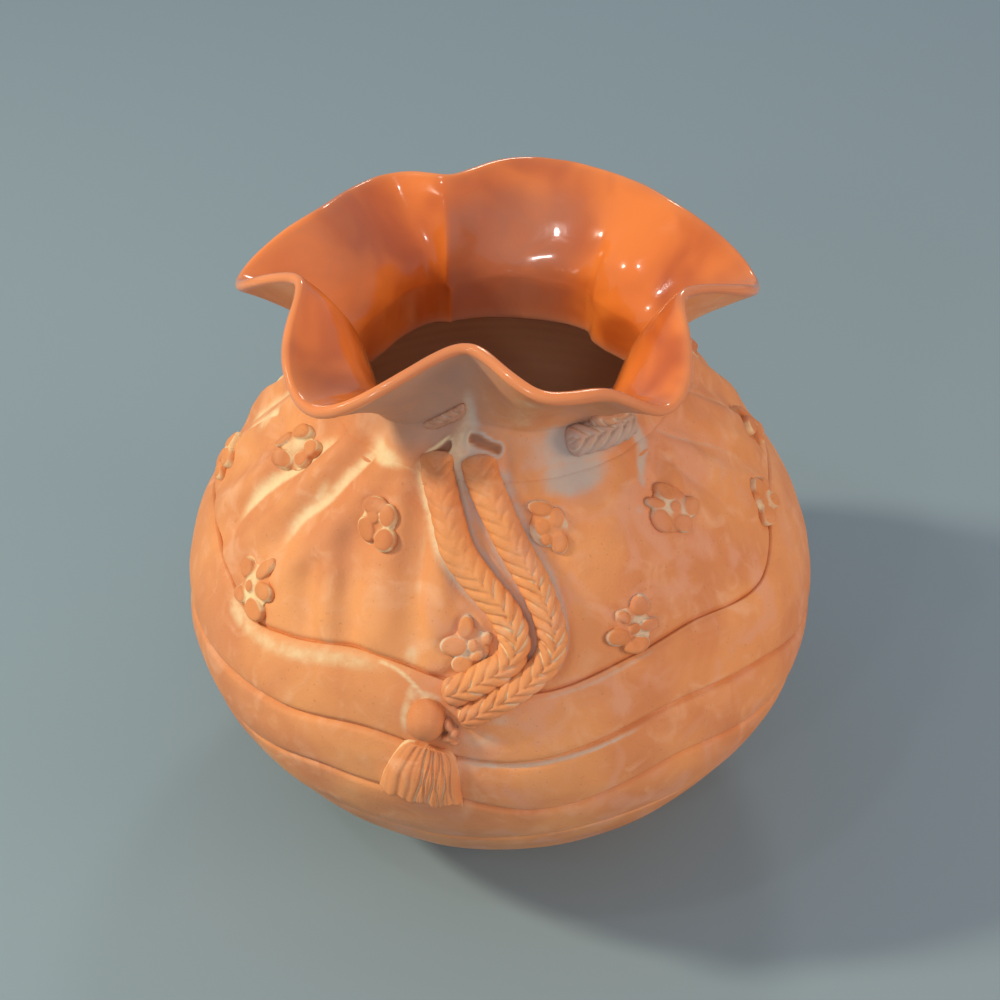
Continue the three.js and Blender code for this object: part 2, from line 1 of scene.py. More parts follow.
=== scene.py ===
# %% [markdown]
# A redware vase in the form of a gathered cloth pouch.
# The real vase is built by hand in red clay: a thrown pot, a skin of clay folded over it like cloth,
# a ruffled mouth, and a plaited cord with a tassel and plum blossoms pressed on the front.
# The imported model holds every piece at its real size. This script models each piece again with the
# soft edges and fine relief of clay, in the same frame, and then gives it its finish.

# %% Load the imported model
import math

import bmesh
import bpy
import numpy as np
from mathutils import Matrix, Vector, noise


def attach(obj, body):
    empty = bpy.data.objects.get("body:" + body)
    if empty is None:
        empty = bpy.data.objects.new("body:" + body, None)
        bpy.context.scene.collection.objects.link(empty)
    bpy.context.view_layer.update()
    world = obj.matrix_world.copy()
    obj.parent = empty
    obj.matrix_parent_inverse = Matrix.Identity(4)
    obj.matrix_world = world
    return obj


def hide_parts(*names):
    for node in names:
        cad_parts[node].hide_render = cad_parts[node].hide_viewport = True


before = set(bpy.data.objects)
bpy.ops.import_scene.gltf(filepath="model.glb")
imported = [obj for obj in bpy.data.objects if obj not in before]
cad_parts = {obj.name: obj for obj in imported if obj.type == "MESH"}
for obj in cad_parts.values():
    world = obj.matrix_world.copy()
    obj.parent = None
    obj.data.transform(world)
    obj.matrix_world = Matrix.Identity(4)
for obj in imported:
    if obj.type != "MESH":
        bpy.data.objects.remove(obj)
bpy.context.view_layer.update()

MM = 0.001

# %% [markdown]
# The stage comes first: a camera that looks down on the vase, lamps and a pale floor.
# A warm lamp from the left models the folds as a low window does, and throws the crisp shadow of the
# mouth. A warmer one lights the right side, soft ones fill the left and the front, one stands behind
# the vase, and a cool room fills the shade. Three tiny lamps give the wet glaze its small sharp
# highlights, which broad lamps would blur.

# %% Camera
VIEW_TILT = math.radians(40.5)
VIEW_DISTANCE = 560
VIEW_AIM = Vector((0, 0, 97)) * MM
LENS = 70.5

bpy.ops.object.select_all(action="DESELECT")
back_along_view = Vector((0, -math.cos(VIEW_TILT), math.sin(VIEW_TILT)))
eye = VIEW_AIM + back_along_view * VIEW_DISTANCE * MM
bpy.ops.object.camera_add(location=eye)
camera = bpy.context.object
camera.data.lens = LENS
camera.rotation_euler = (VIEW_AIM - eye).to_track_quat("-Z", "Y").to_euler()
bpy.context.scene.camera = camera
bpy.context.scene.view_settings.view_transform = "Standard"
print("camera, m:", [round(value, 3) for value in eye])

# %% Lamps
ROOM_COLOUR = (0.88, 0.94, 1.0)
ROOM_STRENGTH = 0.40
# Each lamp: name, place, width, power in watts, colour, and whether the glaze mirrors it
LAMPS = (
    ("window_left", (-0.84, -0.10, 0.77), 0.12, 7.7, (1.0, 0.88, 0.60), False),
    ("lamp_left", (-0.98, -0.05, 0.20), 0.50, 1.0, (1.0, 0.80, 0.50), False),
    ("lamp_right", (0.88, -0.36, 0.36), 0.50, 4.3, (1.0, 0.67, 0.39), False),
    ("lamp_low", (0.05, -0.95, 0.12), 0.40, 0.8, (1.0, 0.84, 0.86), False),
    ("lamp_front", (0.05, -0.84, 0.86), 0.42, 1.1, (1.0, 0.93, 0.88), False),
    ("window_back", (0.20, 0.80, 0.85), 0.20, 1.8, (1.0, 0.94, 0.86), True),
    ("spark_left", (-0.80, -0.10, 0.80), 0.07, 0.9, (1.0, 0.90, 0.75), True),
    ("spark_front", (-0.36, -0.80, 0.70), 0.06, 0.5, (1.0, 0.96, 0.92), True),
    ("spark_high", (-0.45, -0.35, 1.05), 0.06, 0.6, (1.0, 0.96, 0.92), True),
)

for name, lamp_place, width, power, colour, mirrored in LAMPS:
    bpy.ops.object.light_add(type="AREA", location=lamp_place)
    lamp = bpy.context.object
    lamp.name = name
    lamp.data.shape = "DISK"
    lamp.data.size = width
    lamp.data.energy = power
    lamp.data.color = colour
    lamp.visible_glossy = mirrored
    lamp.rotation_euler = (VIEW_AIM - lamp.location).to_track_quat("-Z", "Y").to_euler()

room = bpy.data.worlds.new("room")
room.use_nodes = True
room.node_tree.nodes["Background"].inputs["Color"].default_value = (*ROOM_COLOUR, 1)
room.node_tree.nodes["Background"].inputs["Strength"].default_value = ROOM_STRENGTH
bpy.context.scene.world = room
print("lamps:", len(LAMPS))

# %% [markdown]
# Shader maths reads best as plain sums. Value wraps one socket, so that a sum of two values adds its
# Math node by itself. Finish builds one material, and its node() method adds any other node.

# %% Values and finishes
class Value:
    """The output of a node, written in sums as if it were a number."""

    def __init__(self, finish, socket):
        self.finish = finish
        self.socket = socket

    def maths(self, operation, first, second):
        return self.finish.node("ShaderNodeMath", {"operation": operation}, {0: first, 1: second})

    def __add__(self, other):
        return self.maths("ADD", self, other)

    def __sub__(self, other):
        return self.maths("SUBTRACT", self, other)

    def __rsub__(self, other):
        return self.maths("SUBTRACT", other, self)

    def __mul__(self, other):
        return self.maths("MULTIPLY", self, other)

    __radd__ = __add__
    __rmul__ = __mul__

    def step(self, low, high):
        """Rises softly from 0 to 1 between two levels."""
        settings = {"interpolation_type": "SMOOTHSTEP"}
        return self.finish.node("ShaderNodeMapRange", settings, {0: self, 1: low, 2: high})


class Finish:
    """One material, whose nodes are added by node()."""

    def __init__(self, name):
        self.material = bpy.data.materials.new(name)
        self.material.use_nodes = True
        self.tree = self.material.node_tree
        self.tree.nodes.clear()
        self.place = self.node("ShaderNodeTexCoord", {}, {}, "Object")

    def node(self, kind, settings, sockets, output=0):
        made = self.tree.nodes.new(kind)
        for key, setting in settings.items():
            setattr(made, key, setting)
        for key, content in sockets.items():
            if isinstance(content, Value):
                self.tree.links.new(content.socket, made.inputs[key])
            else:
                made.inputs[key].default_value = content
        return Value(self, made.outputs[output])

    def cloud(self, size, detail=2.0, warp=0.0):
        """A cloudy pattern from 0 to 1 whose patches are about size millimetres wide."""
        sockets = {"Vector": self.place, "Scale": 1 / (size * MM), "Detail": detail, "Distortion": warp}
        return self.node("ShaderNodeTexNoise", {}, sockets, "Fac")

    def painted(self, name):
        """A value that was painted on the points of the piece."""
        return self.node("ShaderNodeAttribute", {"attribute_name": name}, {}, "Fac")

    def mix(self, share, first, second):
        sockets = {0: share}
        for key, colour in ((6, first), (7, second)):
            sockets[key] = colour if isinstance(colour, Value) else (*colour, 1)
        return self.node("ShaderNodeMix", {"data_type": "RGBA"}, sockets, 2)

    def bump(self, height, depth):
        """Small relief whose full height is some millimetres."""
        return self.node("ShaderNodeBump", {}, {"Height": height, "Distance": depth * MM}, "Normal")

    def surface(self, sockets):
        shader = self.node("ShaderNodeBsdfPrincipled", {}, sockets, "BSDF")
        output = self.tree.nodes.new("ShaderNodeOutputMaterial")
        self.tree.links.new(shader.socket, output.inputs["Surface"])
        print(f"{self.material.name}: {len(self.tree.nodes)} nodes")
        return self.material


# %% [markdown]
# The floor is a plain sheet of pale paper, large enough to fill the picture from every side.

# %% Floor
FLOOR_SIZE = 60
FLOOR_COLOUR = (0.225, 0.305, 0.37)

bpy.ops.mesh.primitive_plane_add(size=FLOOR_SIZE)
floor = bpy.context.object
floor.name = "floor"
paper = Finish("floor_paper")
floor.data.materials.append(paper.surface({"Base Color": (*FLOOR_COLOUR, 1), "Roughness": 0.95}))

# %% [markdown]
# A place on the wall of the vase is given by its turn and its rise, as on a potter's wheel.
# The turn is an angle in degrees seen from above, and the front of the vase is at -90. The rise is 0
# at the belly, 100 at the neck and -100 at the foot. The outline is two curves, as in the packed
# model, and wall() turns places and a height over the outline into points, all in millimetres.

# %% Outline of the dressed pot
FOOT_RADIUS = 42
BELLY_RADIUS = 90
BELLY_HEIGHT = 72
NECK_RADIUS = 43
NECK_HEIGHT = 150
LOWER_CURVE = ((FOOT_RADIUS, 0), (60, 16), (BELLY_RADIUS, 44), (BELLY_RADIUS, BELLY_HEIGHT))
UPPER_CURVE = ((BELLY_RADIUS, BELLY_HEIGHT), (BELLY_RADIUS, 90), (79, 114), (NECK_RADIUS, NECK_HEIGHT))


def bezier(corners, count=400):
    share = np.linspace(0, 1, count)[:, None]
    start, leave, arrive, end = np.array(corners, float)
    rest = 1 - share
    return rest**3 * start + 3 * rest**2 * share * leave + 3 * rest * share**2 * arrive + share**3 * end


outline = np.vstack([bezier(LOWER_CURVE)[:-1], bezier(UPPER_CURVE)])
steps = np.gradient(outline, axis=0)
along = steps / np.linalg.norm(steps, axis=1)[:, None]
run = np.concatenate([[0], np.cumsum(np.linalg.norm(np.diff(outline, axis=0), axis=1))])
outline_radius, outline_height = outline.T
below = outline_height < BELLY_HEIGHT
height_scale = np.where(below, BELLY_HEIGHT, NECK_HEIGHT - BELLY_HEIGHT) / 100
outline_rise = (outline_height - BELLY_HEIGHT) / height_scale
print("length of the outline from foot to neck, mm:", round(run[-1], 1))


def radius_at(rise):
    return np.interp(rise, outline_rise, outline_radius)


def run_at(rise):
    """Distance from the foot, along the outline."""
    return np.interp(rise, outline_rise, run)


def rise_at_run(distance):
    return np.interp(distance, run, outline_rise)


def round_the_vase(turn, radius, height):
    angle = np.radians(turn)
    return np.stack(np.broadcast_arrays(radius * np.cos(angle), radius * np.sin(angle), height), -1)


def wall(turn, rise, lift):
    """Points on the wall, a distance out of its outline."""
    radius = radius_at(rise) + lift * np.interp(rise, outline_rise, along[:, 1])
    height = np.interp(rise, outline_rise, outline_height) - lift * np.interp(rise, outline_rise, along[:, 0])
    return round_the_vase(turn, radius, height)


# %% [markdown]
# A few small tools shape everything that goes round the vase: a soft step, a smooth closed curve
# through rows of numbers, and the distance on the wall from any place to a line drawn on it.

# %% Steps and curves
def soft_step(value, low, high):
    share = np.clip((value - low) / (high - low), 0, 1)
    return share * share * (3 - 2 * share)


def soft_span(value, rise_from, rise_to, fall_from, fall_to):
    """1 between two levels, with a soft rise before them and a soft fall after."""
    return soft_step(value, rise_from, rise_to) * (1 - soft_step(value, fall_from, fall_to))


def bell(distance, width):
    return np.exp(-((distance / width) ** 2))


def turn_gap(turn, other):
    """Turn from another place to this one, by the shorter way round."""
    return (turn - other + 180) % 360 - 180


def closed_curve(rows, column):
    """A smooth curve round the vase that is level at the highs and lows of its rows."""
    rows = sorted(rows)
    first_turn = rows[0][0]
    turns = np.array([row[0] + lap for lap in (-360, 0, 360) for row in rows], float)
    values = np.tile([row[column] for row in rows], 3).astype(float)
    slopes = np.diff(values) / np.diff(turns)
    before, after = slopes[:-1], slopes[1:]
    level = before * after <= 0
    total = np.where(level, 1, before + after)
    knot_slopes = np.concatenate([[0], np.where(level, 0, 2 * before * after / total), [0]])

    def value_at(turn):
        place = (turn - first_turn) % 360 + first_turn
        i = np.searchsorted(turns, place, side="right") - 1
        span = turns[i + 1] - turns[i]
        t = (place - turns[i]) / span
        start = values[i] * (1 + 2 * t) * (1 - t) ** 2 + knot_slopes[i] * span * t * (1 - t) ** 2
        end = values[i + 1] * t * t * (3 - 2 * t) + knot_slopes[i + 1] * span * t * t * (t - 1)
        return start + end

    return value_at


def softened(curve, spread):
    """The same curve round the vase, rounded over some degrees."""
    turns = np.arange(-180, 180, 0.5)
    weights = bell(turns, spread)
    spectrum = np.fft.fft(curve(turns)) * np.fft.fft(np.fft.ifftshift(weights / weights.sum()))
    values = np.real(np.fft.ifft(spectrum))
    return lambda turn: np.interp(turn, turns, values, period=360)


# %% Lines on the wall
def through(route, count):
    """Many places on a smooth line through the given ones."""
    knots = np.array([route[0], *route, route[-1]], float)
    position = np.linspace(0, len(route) - 1.000001, count)
    i = position.astype(int)
    t = (position - i)[:, None]
    a, b, c, d = (knots[i + k] for k in range(4))
    return b + t * ((c - a) + t * ((2 * a - 5 * b + 4 * c - d) + t * (3 * b - 3 * c + d - a))) / 2


def distance_to(route, turn, rise):
    """Distance on the wall, in millimetres, from places to a line, and the share along the line.

    The distance is above zero on the right of a line that runs down, and below zero on its left.
    """
    nearest = np.full(np.broadcast(turn, rise).shape, 1e9)
    share = np.zeros_like(nearest)
    right = np.ones_like(nearest)
    radius = radius_at(rise)
    height = run_at(rise)
    for i in range(len(route) - 1):
        (start_turn, start_rise), (end_turn, end_rise) = route[i : i + 2]
        start_side = np.radians(turn_gap(start_turn, turn)) * radius
        start_up = run_at(start_rise) - height
        side = np.radians(turn_gap(end_turn, start_turn)) * radius
        up = run_at(end_rise) - run_at(start_rise)
        t = np.clip(-(start_side * side + start_up * up) / (side**2 + up**2), 0, 1)
        distance = np.hypot(start_side + t * side, start_up + t * up)
        closer = distance < nearest
        share = np.where(closer, (i + t) / (len(route) - 1), share)
        right = np.where(closer, np.sign(up * start_side - side * start_up), right)
        nearest = np.minimum(nearest, distance)
    return nearest * right, share


def hand_marks(points, size, stretch=(1, 1, 1)):
    """Soft unevenness left by the hands, from -1 to 1, with dents about size millimetres wide."""
    flat = points.reshape(-1, 3) * np.array(stretch) / size
    marks = np.fromiter((noise.noise(place) for place in flat.tolist()), float, len(flat))
    return marks.reshape(points.shape[:-1])


# %% [markdown]
# Everything that goes once round the vase is slab built: a sheet of clay is shaped, bent round until
# its ends meet, and the seams are closed. A grid is such a sheet. Its points are moved to their places
# and the doubled points along the seams are merged. The last step is the same for every piece: its
# finish, smooth shading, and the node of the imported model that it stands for.

# %% Points and paint
FRONT_FROM, FRONT_TO = -200, 20
FRONT_STEP, BACK_STEP = 0.36, 0.72
fine_turns = np.concatenate([
    np.arange(FRONT_FROM, FRONT_TO, FRONT_STEP),
    np.arange(FRONT_TO, FRONT_FROM + 360, BACK_STEP),
])[:, None]
print("columns of points round the vase:", len(fine_turns))


def move_points(piece, points, scale=MM):
    """Moves all points of a piece to places in millimetres."""
    piece.data.vertices.foreach_set("co", (points * scale).astype(np.float32).ravel())
    piece.data.update()


def points_of(piece):
    points = np.empty(len(piece.data.vertices) * 3, np.float32)
    piece.data.vertices.foreach_get("co", points)
    return points.reshape(-1, 3).astype(float)


def paint(piece, **layers):
    """Paints values from 0 to 1 on the points of a piece, each under its own name."""
    for name, values in layers.items():
        layer = piece.data.attributes.new(name, "FLOAT", "POINT")
        values = np.broadcast_to(np.ravel(values), len(piece.data.vertices))
        layer.data.foreach_set("value", np.clip(values, 0, 1).astype(np.float32))


def take_paint(piece, name):
    """Reads a painted value and takes it off the piece."""
    layer = piece.data.attributes[name]
    values = np.empty(len(piece.data.vertices), np.float32)
    layer.data.foreach_get("value", values)
    piece.data.attributes.remove(layer)
    return values.astype(float)


# %% Sheets and rings
SEAM = 0.002 * MM


def sheet_of_clay(name, columns, rows):
    """A flat grid from -1 to 1 both ways, to be bent into shape."""
    bpy.ops.object.select_all(action="DESELECT")
    bpy.ops.mesh.primitive_grid_add(x_subdivisions=columns, y_subdivisions=rows, size=2)
    piece = bpy.context.object
    piece.name = name
    return piece


def close_seams(gap, turn_out=False):
    """Merges the doubled points of the active piece, and may turn its faces outwards."""
    bpy.ops.object.mode_set(mode="EDIT")
    bpy.ops.mesh.select_all(action="SELECT")
    bpy.ops.mesh.remove_doubles(threshold=gap)
    if turn_out:
        bpy.ops.mesh.normals_make_consistent(inside=False)
    bpy.ops.object.mode_set(mode="OBJECT")


def overlapped(values):
    """A sheet's rows and columns with the first ones again at the end, where its edges meet."""
    values = np.concatenate([values, values[:1]], 0)
    return np.concatenate([values, values[:, :1]], 1).swapaxes(0, 1)


def ring_of_clay(name, points, paints):
    """A closed ring. Its section runs up the outside, over the top and down the inside."""
    piece = sheet_of_clay(name, *points.shape[:2])
    move_points(piece, overlapped(points).reshape(-1, 3))
    paint(piece, **{key: overlapped(values) for key, values in paints.items()})
    close_seams(SEAM)
    return piece


# %% The last step
def settle(piece, node, finish):
    """The last step of every piece."""
    piece.data.materials.clear()
    piece.data.materials.append(finish)
    bpy.ops.object.select_all(action="DESELECT")
    piece.select_set(True)
    bpy.context.view_layer.objects.active = piece
    bpy.ops.object.shade_smooth()
    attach(piece, "root")
    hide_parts(node)
    shell = bmesh.new()
    shell.from_mesh(piece.data)
    open_edges = sum(1 for edge in shell.edges if not edge.is_manifold)
    volume = shell.calc_volume(signed=True) / MM**3 / 1000
    faces = sum(len(face.verts) - 2 for face in shell.faces)
    shell.free()
    print(f"{piece.name}: {volume:.2f} ml, {faces} triangles, {open_edges} open edges")


# %% [markdown]
# Bare redware is warm orange clay, a little paler where it was burnished, with fine dark specks of iron.
# Where painted shade lies, cloudy patches of it are painted pinker. A thin pale wash was brushed on and
# wiped off again, so it stays in every hollow. Where it stays is painted on the points of each piece as
# it is modelled, and broken up here by the same cloudy pattern that varies the clay. In painted shade
# the wash is painted greyer, and slits, the foot of the binding and patches of the cords on the mouth
# are painted darker as shade.

# %% Clay finish
CLAY_DEEP = (0.62, 0.235, 0.095)
CLAY_WARM = (0.75, 0.325, 0.125)
CLAY_PALE = (0.80, 0.445, 0.270)
# The pink below tints the clay, and the last colour below tints the wash, where painted shade lies.
CLAY_PINK = (0.70, 0.335, 0.215)
IRON_SPECK = (0.20, 0.075, 0.04)
WASH_CREAM = (0.84, 0.66, 0.38)
WASH_COOL = (0.46, 0.415, 0.41)


def bare_clay(finish, shade=(1, 1, 1)):
    """Colour of the clay, pinker in patches where the painted shade tint lies, and the smears that also vary
    its wash and its relief.
    """
    deep, warm, pale = (
        tuple(part * tint for part, tint in zip(colour, shade))
        for colour in (CLAY_DEEP, CLAY_WARM, CLAY_PALE)
    )
    patches = finish.cloud(30, detail=3, warp=0.4)
    smears = finish.cloud(9, detail=4, warp=0.8)
    blush = finish.cloud(17, detail=3, warp=1.2).step(0.45, 0.68)
    specks = finish.cloud(0.9, detail=1).step(0.70, 0.76)
    colour = finish.mix(patches.step(0.32, 0.66), deep, warm)
    colour = finish.mix(smears.step(0.48, 0.80) * 0.6, colour, pale)
    # Pinker patches only where the painted shade tint lies.
    colour = finish.mix(blush * finish.painted("cool") * 0.8, colour, CLAY_PINK)
    colour = finish.mix(specks * 0.22, colour, IRON_SPECK)
    return colour, smears


def washed(finish, colour, smears):
    """The clay with the painted wash over it, greyer in painted shade and darkened by painted shade in slits,
    and how heavily the wash lies.
    """
    flecks = finish.cloud(2.4, detail=4, warp=0.6)
    wash = (finish.painted("wash") * (0.18 + smears * 0.75 + flecks * 0.85)).step(0.14, 0.92)
    wash_colour = finish.mix(finish.painted("cool"), WASH_CREAM, WASH_COOL)
    colour = finish.mix(wash * 0.9, colour, wash_colour)
    return finish.mix(finish.painted("slit") * 0.7, colour, IRON_SPECK), wash


def clay_finish(name, shade=(1, 1, 1), sheen=0.0):
    clay = Finish(name)
    colour, smears = bare_clay(clay, shade)
    colour, wash = washed(clay, colour, smears)
    grain = clay.cloud(0.8, detail=3)
    roughness = 0.54 - sheen + smears * 0.14 + wash * 0.18
    relief = clay.bump(smears * 0.7 + grain * 0.3, 0.32)
    return clay.surface({"Base Color": colour, "Roughness": roughness, "Normal": relief})


clay_cloth = clay_finish("red_clay_cloth")
clay_bands = clay_finish("red_clay_bands", shade=(1.0, 0.98, 0.95), sheen=0.08)
clay_relief = clay_finish("red_clay_relief", shade=(1.0, 0.97, 0.92))
clay_petals = clay_finish("red_clay_petals", shade=(0.91, 0.83, 0.76))

# %% [markdown]
# The mouth and the inside are covered with a clear glossy glaze that turns the clay deep orange. It
# is painted redder and darker as shade in the deep fold left of the ridge and darker in a stripe,
# painted pinkish as reflection and shade on the flat wall and on parts of two lobes, and it leaves a
# pale line on the lip. The deep inside is painted lighter as painted light. The outside of the ruffle
# is bare clay again. One material holds both, and the painted value "glaze" parts them. The other
# painted values say where the painted shade, reflection and light lie, and where the glaze is thin.

# %% Glaze finish
GLAZE_BRIGHT = (0.80, 0.212, 0.035)
GLAZE_DEEP = (0.48, 0.095, 0.016)
GLAZE_THIN = (0.70, 0.27, 0.115)
# A colour of painted reflection and shade for the inner walls.
GLAZE_VEIL = (0.44, 0.155, 0.085)
# A lighter glaze colour painted deep inside as painted light.
GLAZE_POOL = (0.80, 0.52, 0.35)
# Greyer clay, also used as painted shade under the front of the mouth and on the cords there.
RUFFLE_CLAY_DULL = (0.42, 0.265, 0.205)


def glaze_finish(name):
    glaze = Finish(name)
    patches = glaze.cloud(24, detail=2, warp=0.6)
    smears = glaze.cloud(8, detail=4, warp=0.8)
    grain = glaze.cloud(0.8, detail=3)
    glossy = glaze.painted("glaze")
    bare, clay_smears = bare_clay(glaze)
    # Greyer clay and painted shade on the bare outside.
    bare = glaze.mix(glaze.painted("dull") * (0.72 + smears * 0.5), bare, RUFFLE_CLAY_DULL)
    bare = washed(glaze, bare, clay_smears)[0]
    wet = glaze.mix(patches.step(0.28, 0.66), GLAZE_DEEP, GLAZE_BRIGHT)
    # Painted shade in the deep fold inside, and a darker stripe.
    wet = glaze.mix(glaze.painted("thick") * (0.5 + smears * 0.6), wet, GLAZE_DEEP)
    # Painted reflection and shade on the inner walls.
    wet = glaze.mix(glaze.painted("veil") * (0.55 + smears * 0.6), wet, GLAZE_VEIL)
    wet = glaze.mix(glaze.painted("thin"), wet, GLAZE_THIN)
    # Painted light deep inside.
    wet = glaze.mix(glaze.painted("pool"), wet, GLAZE_POOL)
    colour = glaze.mix(glossy, bare, wet)
    roughness = 0.62 - glossy * (0.46 - smears * 0.05)
    relief = glaze.bump(smears * 0.8 + grain * (0.2 - glossy * 0.18), 0.16)
    return glaze.surface({
        "Base Color": colour, "Roughness": roughness, "Coat Weight": glossy * 0.7, "Normal": relief,
    })


orange_glaze = glaze_finish("orange_glaze")

# %% [markdown]
# The thrown pot carries everything else. On the wheel it is one profile turned about its axis, so
# here the profile is drawn from a circle of points and spun. Only its foot and its inside show. The
# inside keeps the rings left by the fingers, and the foot keeps fine rings from trimming.

# %% Section of the thrown pot
POT_LIFT = -3.4
POT_WALL = 5
POT_FLOOR = 6
POT_TOP_RISE = 87.5
INSIDE_RISES = (83, -84)
FILLET_HEIGHT, FILLET_WIDTH = 4.5, 7
RIM_HEIGHT = 141
RIM_DEPTH = 4
RIM_BEVEL, BORE_BEVEL = 0.6, 0.8
BORE_RADIUS = 41
FOOT_BEVEL = 0.8
FOOT_LEDGE_HEIGHT = 10
FOOT_LEDGE_RISE = (FOOT_LEDGE_HEIGHT - BELLY_HEIGHT) / (BELLY_HEIGHT / 100)
FINGER_RING_PITCH = 8.5
FINGER_RING_DEPTH = 0.05
FLOOR_RING_DEPTH = 0.12
TRIM_RING_DEPTH, TRIMMED_RADIUS = 0.12, 36


def profile(rises, lift):
    """Radius and height of the wall, a distance out of its outline."""
    points = wall(0, np.array(rises, float), lift)
    return points[:, [0, 2]]


def pot_profile():
    """Half a section: under the foot, up the outside, over the rim, down the inside to the axis."""
    foot = profile(np.linspace(FOOT_BEVEL - 100, FOOT_LEDGE_RISE, 8), 0)
    outside = profile(np.linspace(FOOT_LEDGE_RISE, POT_TOP_RISE, 34), POT_LIFT)
    inner_rises = np.linspace(*INSIDE_RISES, 110)
    finger_rings = FINGER_RING_DEPTH * np.sin(2 * math.pi * run_at(inner_rises) / FINGER_RING_PITCH)
    inside = profile(inner_rises, POT_LIFT - POT_WALL - finger_rings)
    inside = inside[inside[:, 1] > POT_FLOOR + 4]
    floor_radii = np.linspace(inside[-1][0], 0, 30)
    fillet = FILLET_HEIGHT * bell(floor_radii - inside[-1][0], FILLET_WIDTH)
    floor_rings = FLOOR_RING_DEPTH * np.sin(floor_radii * 2 * math.pi / FINGER_RING_PITCH)
    pot_floor = np.stack([floor_radii, POT_FLOOR + fillet + floor_rings * (floor_radii > 3)], 1)[1:]
    base_radii = np.linspace(0, FOOT_RADIUS - FOOT_BEVEL, 16)
    trim_rings = TRIM_RING_DEPTH * (1 - np.cos(base_radii * 2)) * (base_radii < TRIMMED_RADIUS)
    rim = [
        (outside[-1][0] - RIM_BEVEL, RIM_HEIGHT), (BORE_RADIUS + RIM_BEVEL, RIM_HEIGHT),
        (BORE_RADIUS, RIM_HEIGHT - BORE_BEVEL), (BORE_RADIUS, RIM_HEIGHT - RIM_DEPTH),
    ]
    return np.vstack([np.stack([base_radii, trim_rings], 1), foot, outside, rim, inside, pot_floor])


# %% The thrown pot
POT_FACETS = 192


def spun_pot(name, corners):
    bpy.ops.object.select_all(action="DESELECT")
    bpy.ops.mesh.primitive_circle_add(vertices=len(corners))
    piece = bpy.context.object
    piece.name = name
    move_points(piece, np.stack([corners[:, 0], 0 * corners[:, 0], corners[:, 1]], 1))
    last = len(corners) - 1
    for edge in piece.data.edges:
        edge.select = set(edge.vertices) == {0, last}
    for vertex in piece.data.vertices:
        vertex.select = False
    bpy.ops.object.mode_set(mode="EDIT")
    bpy.ops.mesh.select_mode(type="EDGE")
    bpy.ops.mesh.delete(type="EDGE_FACE")
    bpy.ops.mesh.select_all(action="SELECT")
    bpy.ops.mesh.spin(steps=POT_FACETS, angle=2 * math.pi, center=(0, 0, 0), axis=(0, 0, 1))
    bpy.ops.object.mode_set(mode="OBJECT")
    close_seams(0.01 * MM, turn_out=True)
    return piece


thrown_pot = spun_pot("thrown_pot", pot_profile())
pot_points = points_of(thrown_pot) / MM
pot_reach = np.hypot(pot_points[:, 0], pot_points[:, 1])
outer_reach = np.interp(pot_points[:, 2], outline_height, outline_radius)
inside = soft_step(outer_reach - pot_reach, 5.5, 7.5) * (pot_points[:, 2] > POT_FLOOR - 1)
low_wash = 0.35 * soft_step(12 - pot_points[:, 2], 0, 8) * (1 - inside)
# The inside is painted a lighter glaze as painted light, for the light that hardly reaches down there.
paint(thrown_pot, glaze=inside, pool=inside, wash=low_wash)
settle(thrown_pot, "pot_body", orange_glaze)

# %% [markdown]
# The cloth is a sheet of clay from the hem to the neck. Its surface is the sum of what a hand would
# do to it: broad gathers drawn in at the neck, creases cut along them with a round tool, channels
# beside the cords, small dents, and a hem that tucks behind the band below. The same lines say where
# the pale wash stays. The lines are read off the vase as turns and rises.

# %% Hem and gathers of the cloth
CLOTH_LIFT = -0.5
CLOTH_TOP_RISE = 95
SKIN_THICKNESS = 3
DEEPEST_MARK = 2.3
ROLL_CREST = 0.5
CLOTH_HEM = (
    (-171, 38), (-154, 36), (-144, 33), (-133, 37), (-116, 44), (-84, 37.5), (-63, 43), (-51, 44.5),
    (-29, 38), (-9, 49), (16, 43), (42, 36), (66, 42), (92, 37), (118, 43), (142, 36), (168, 30),
)
# Each gather: turn and rise at the top, turn and rise at the foot, depth, half width
GATHERS = [
    (-164, 93, -179, 40, 1.6, 4.4), (-150, 93, -164, 38, 1.7, 4.2), (-134, 96, -146, 50, 1.7, 4.2),
    (-134, 62, -129, 40, 1.3, 4), (-126, 74, -120.5, 43, 1.7, 4), (-112, 96, -107, 43, 1.7, 3.6),
    (-72, 96, -66, 79, 1.2, 4), (-38, 96, -45, 79, 1.6, 4), (-33, 92, -25, 48, 0.9, 3.4),
    (-27, 93, -3, 52, 1.2, 4), (-2, 95, 18, 50, 1.5, 4.4),
]

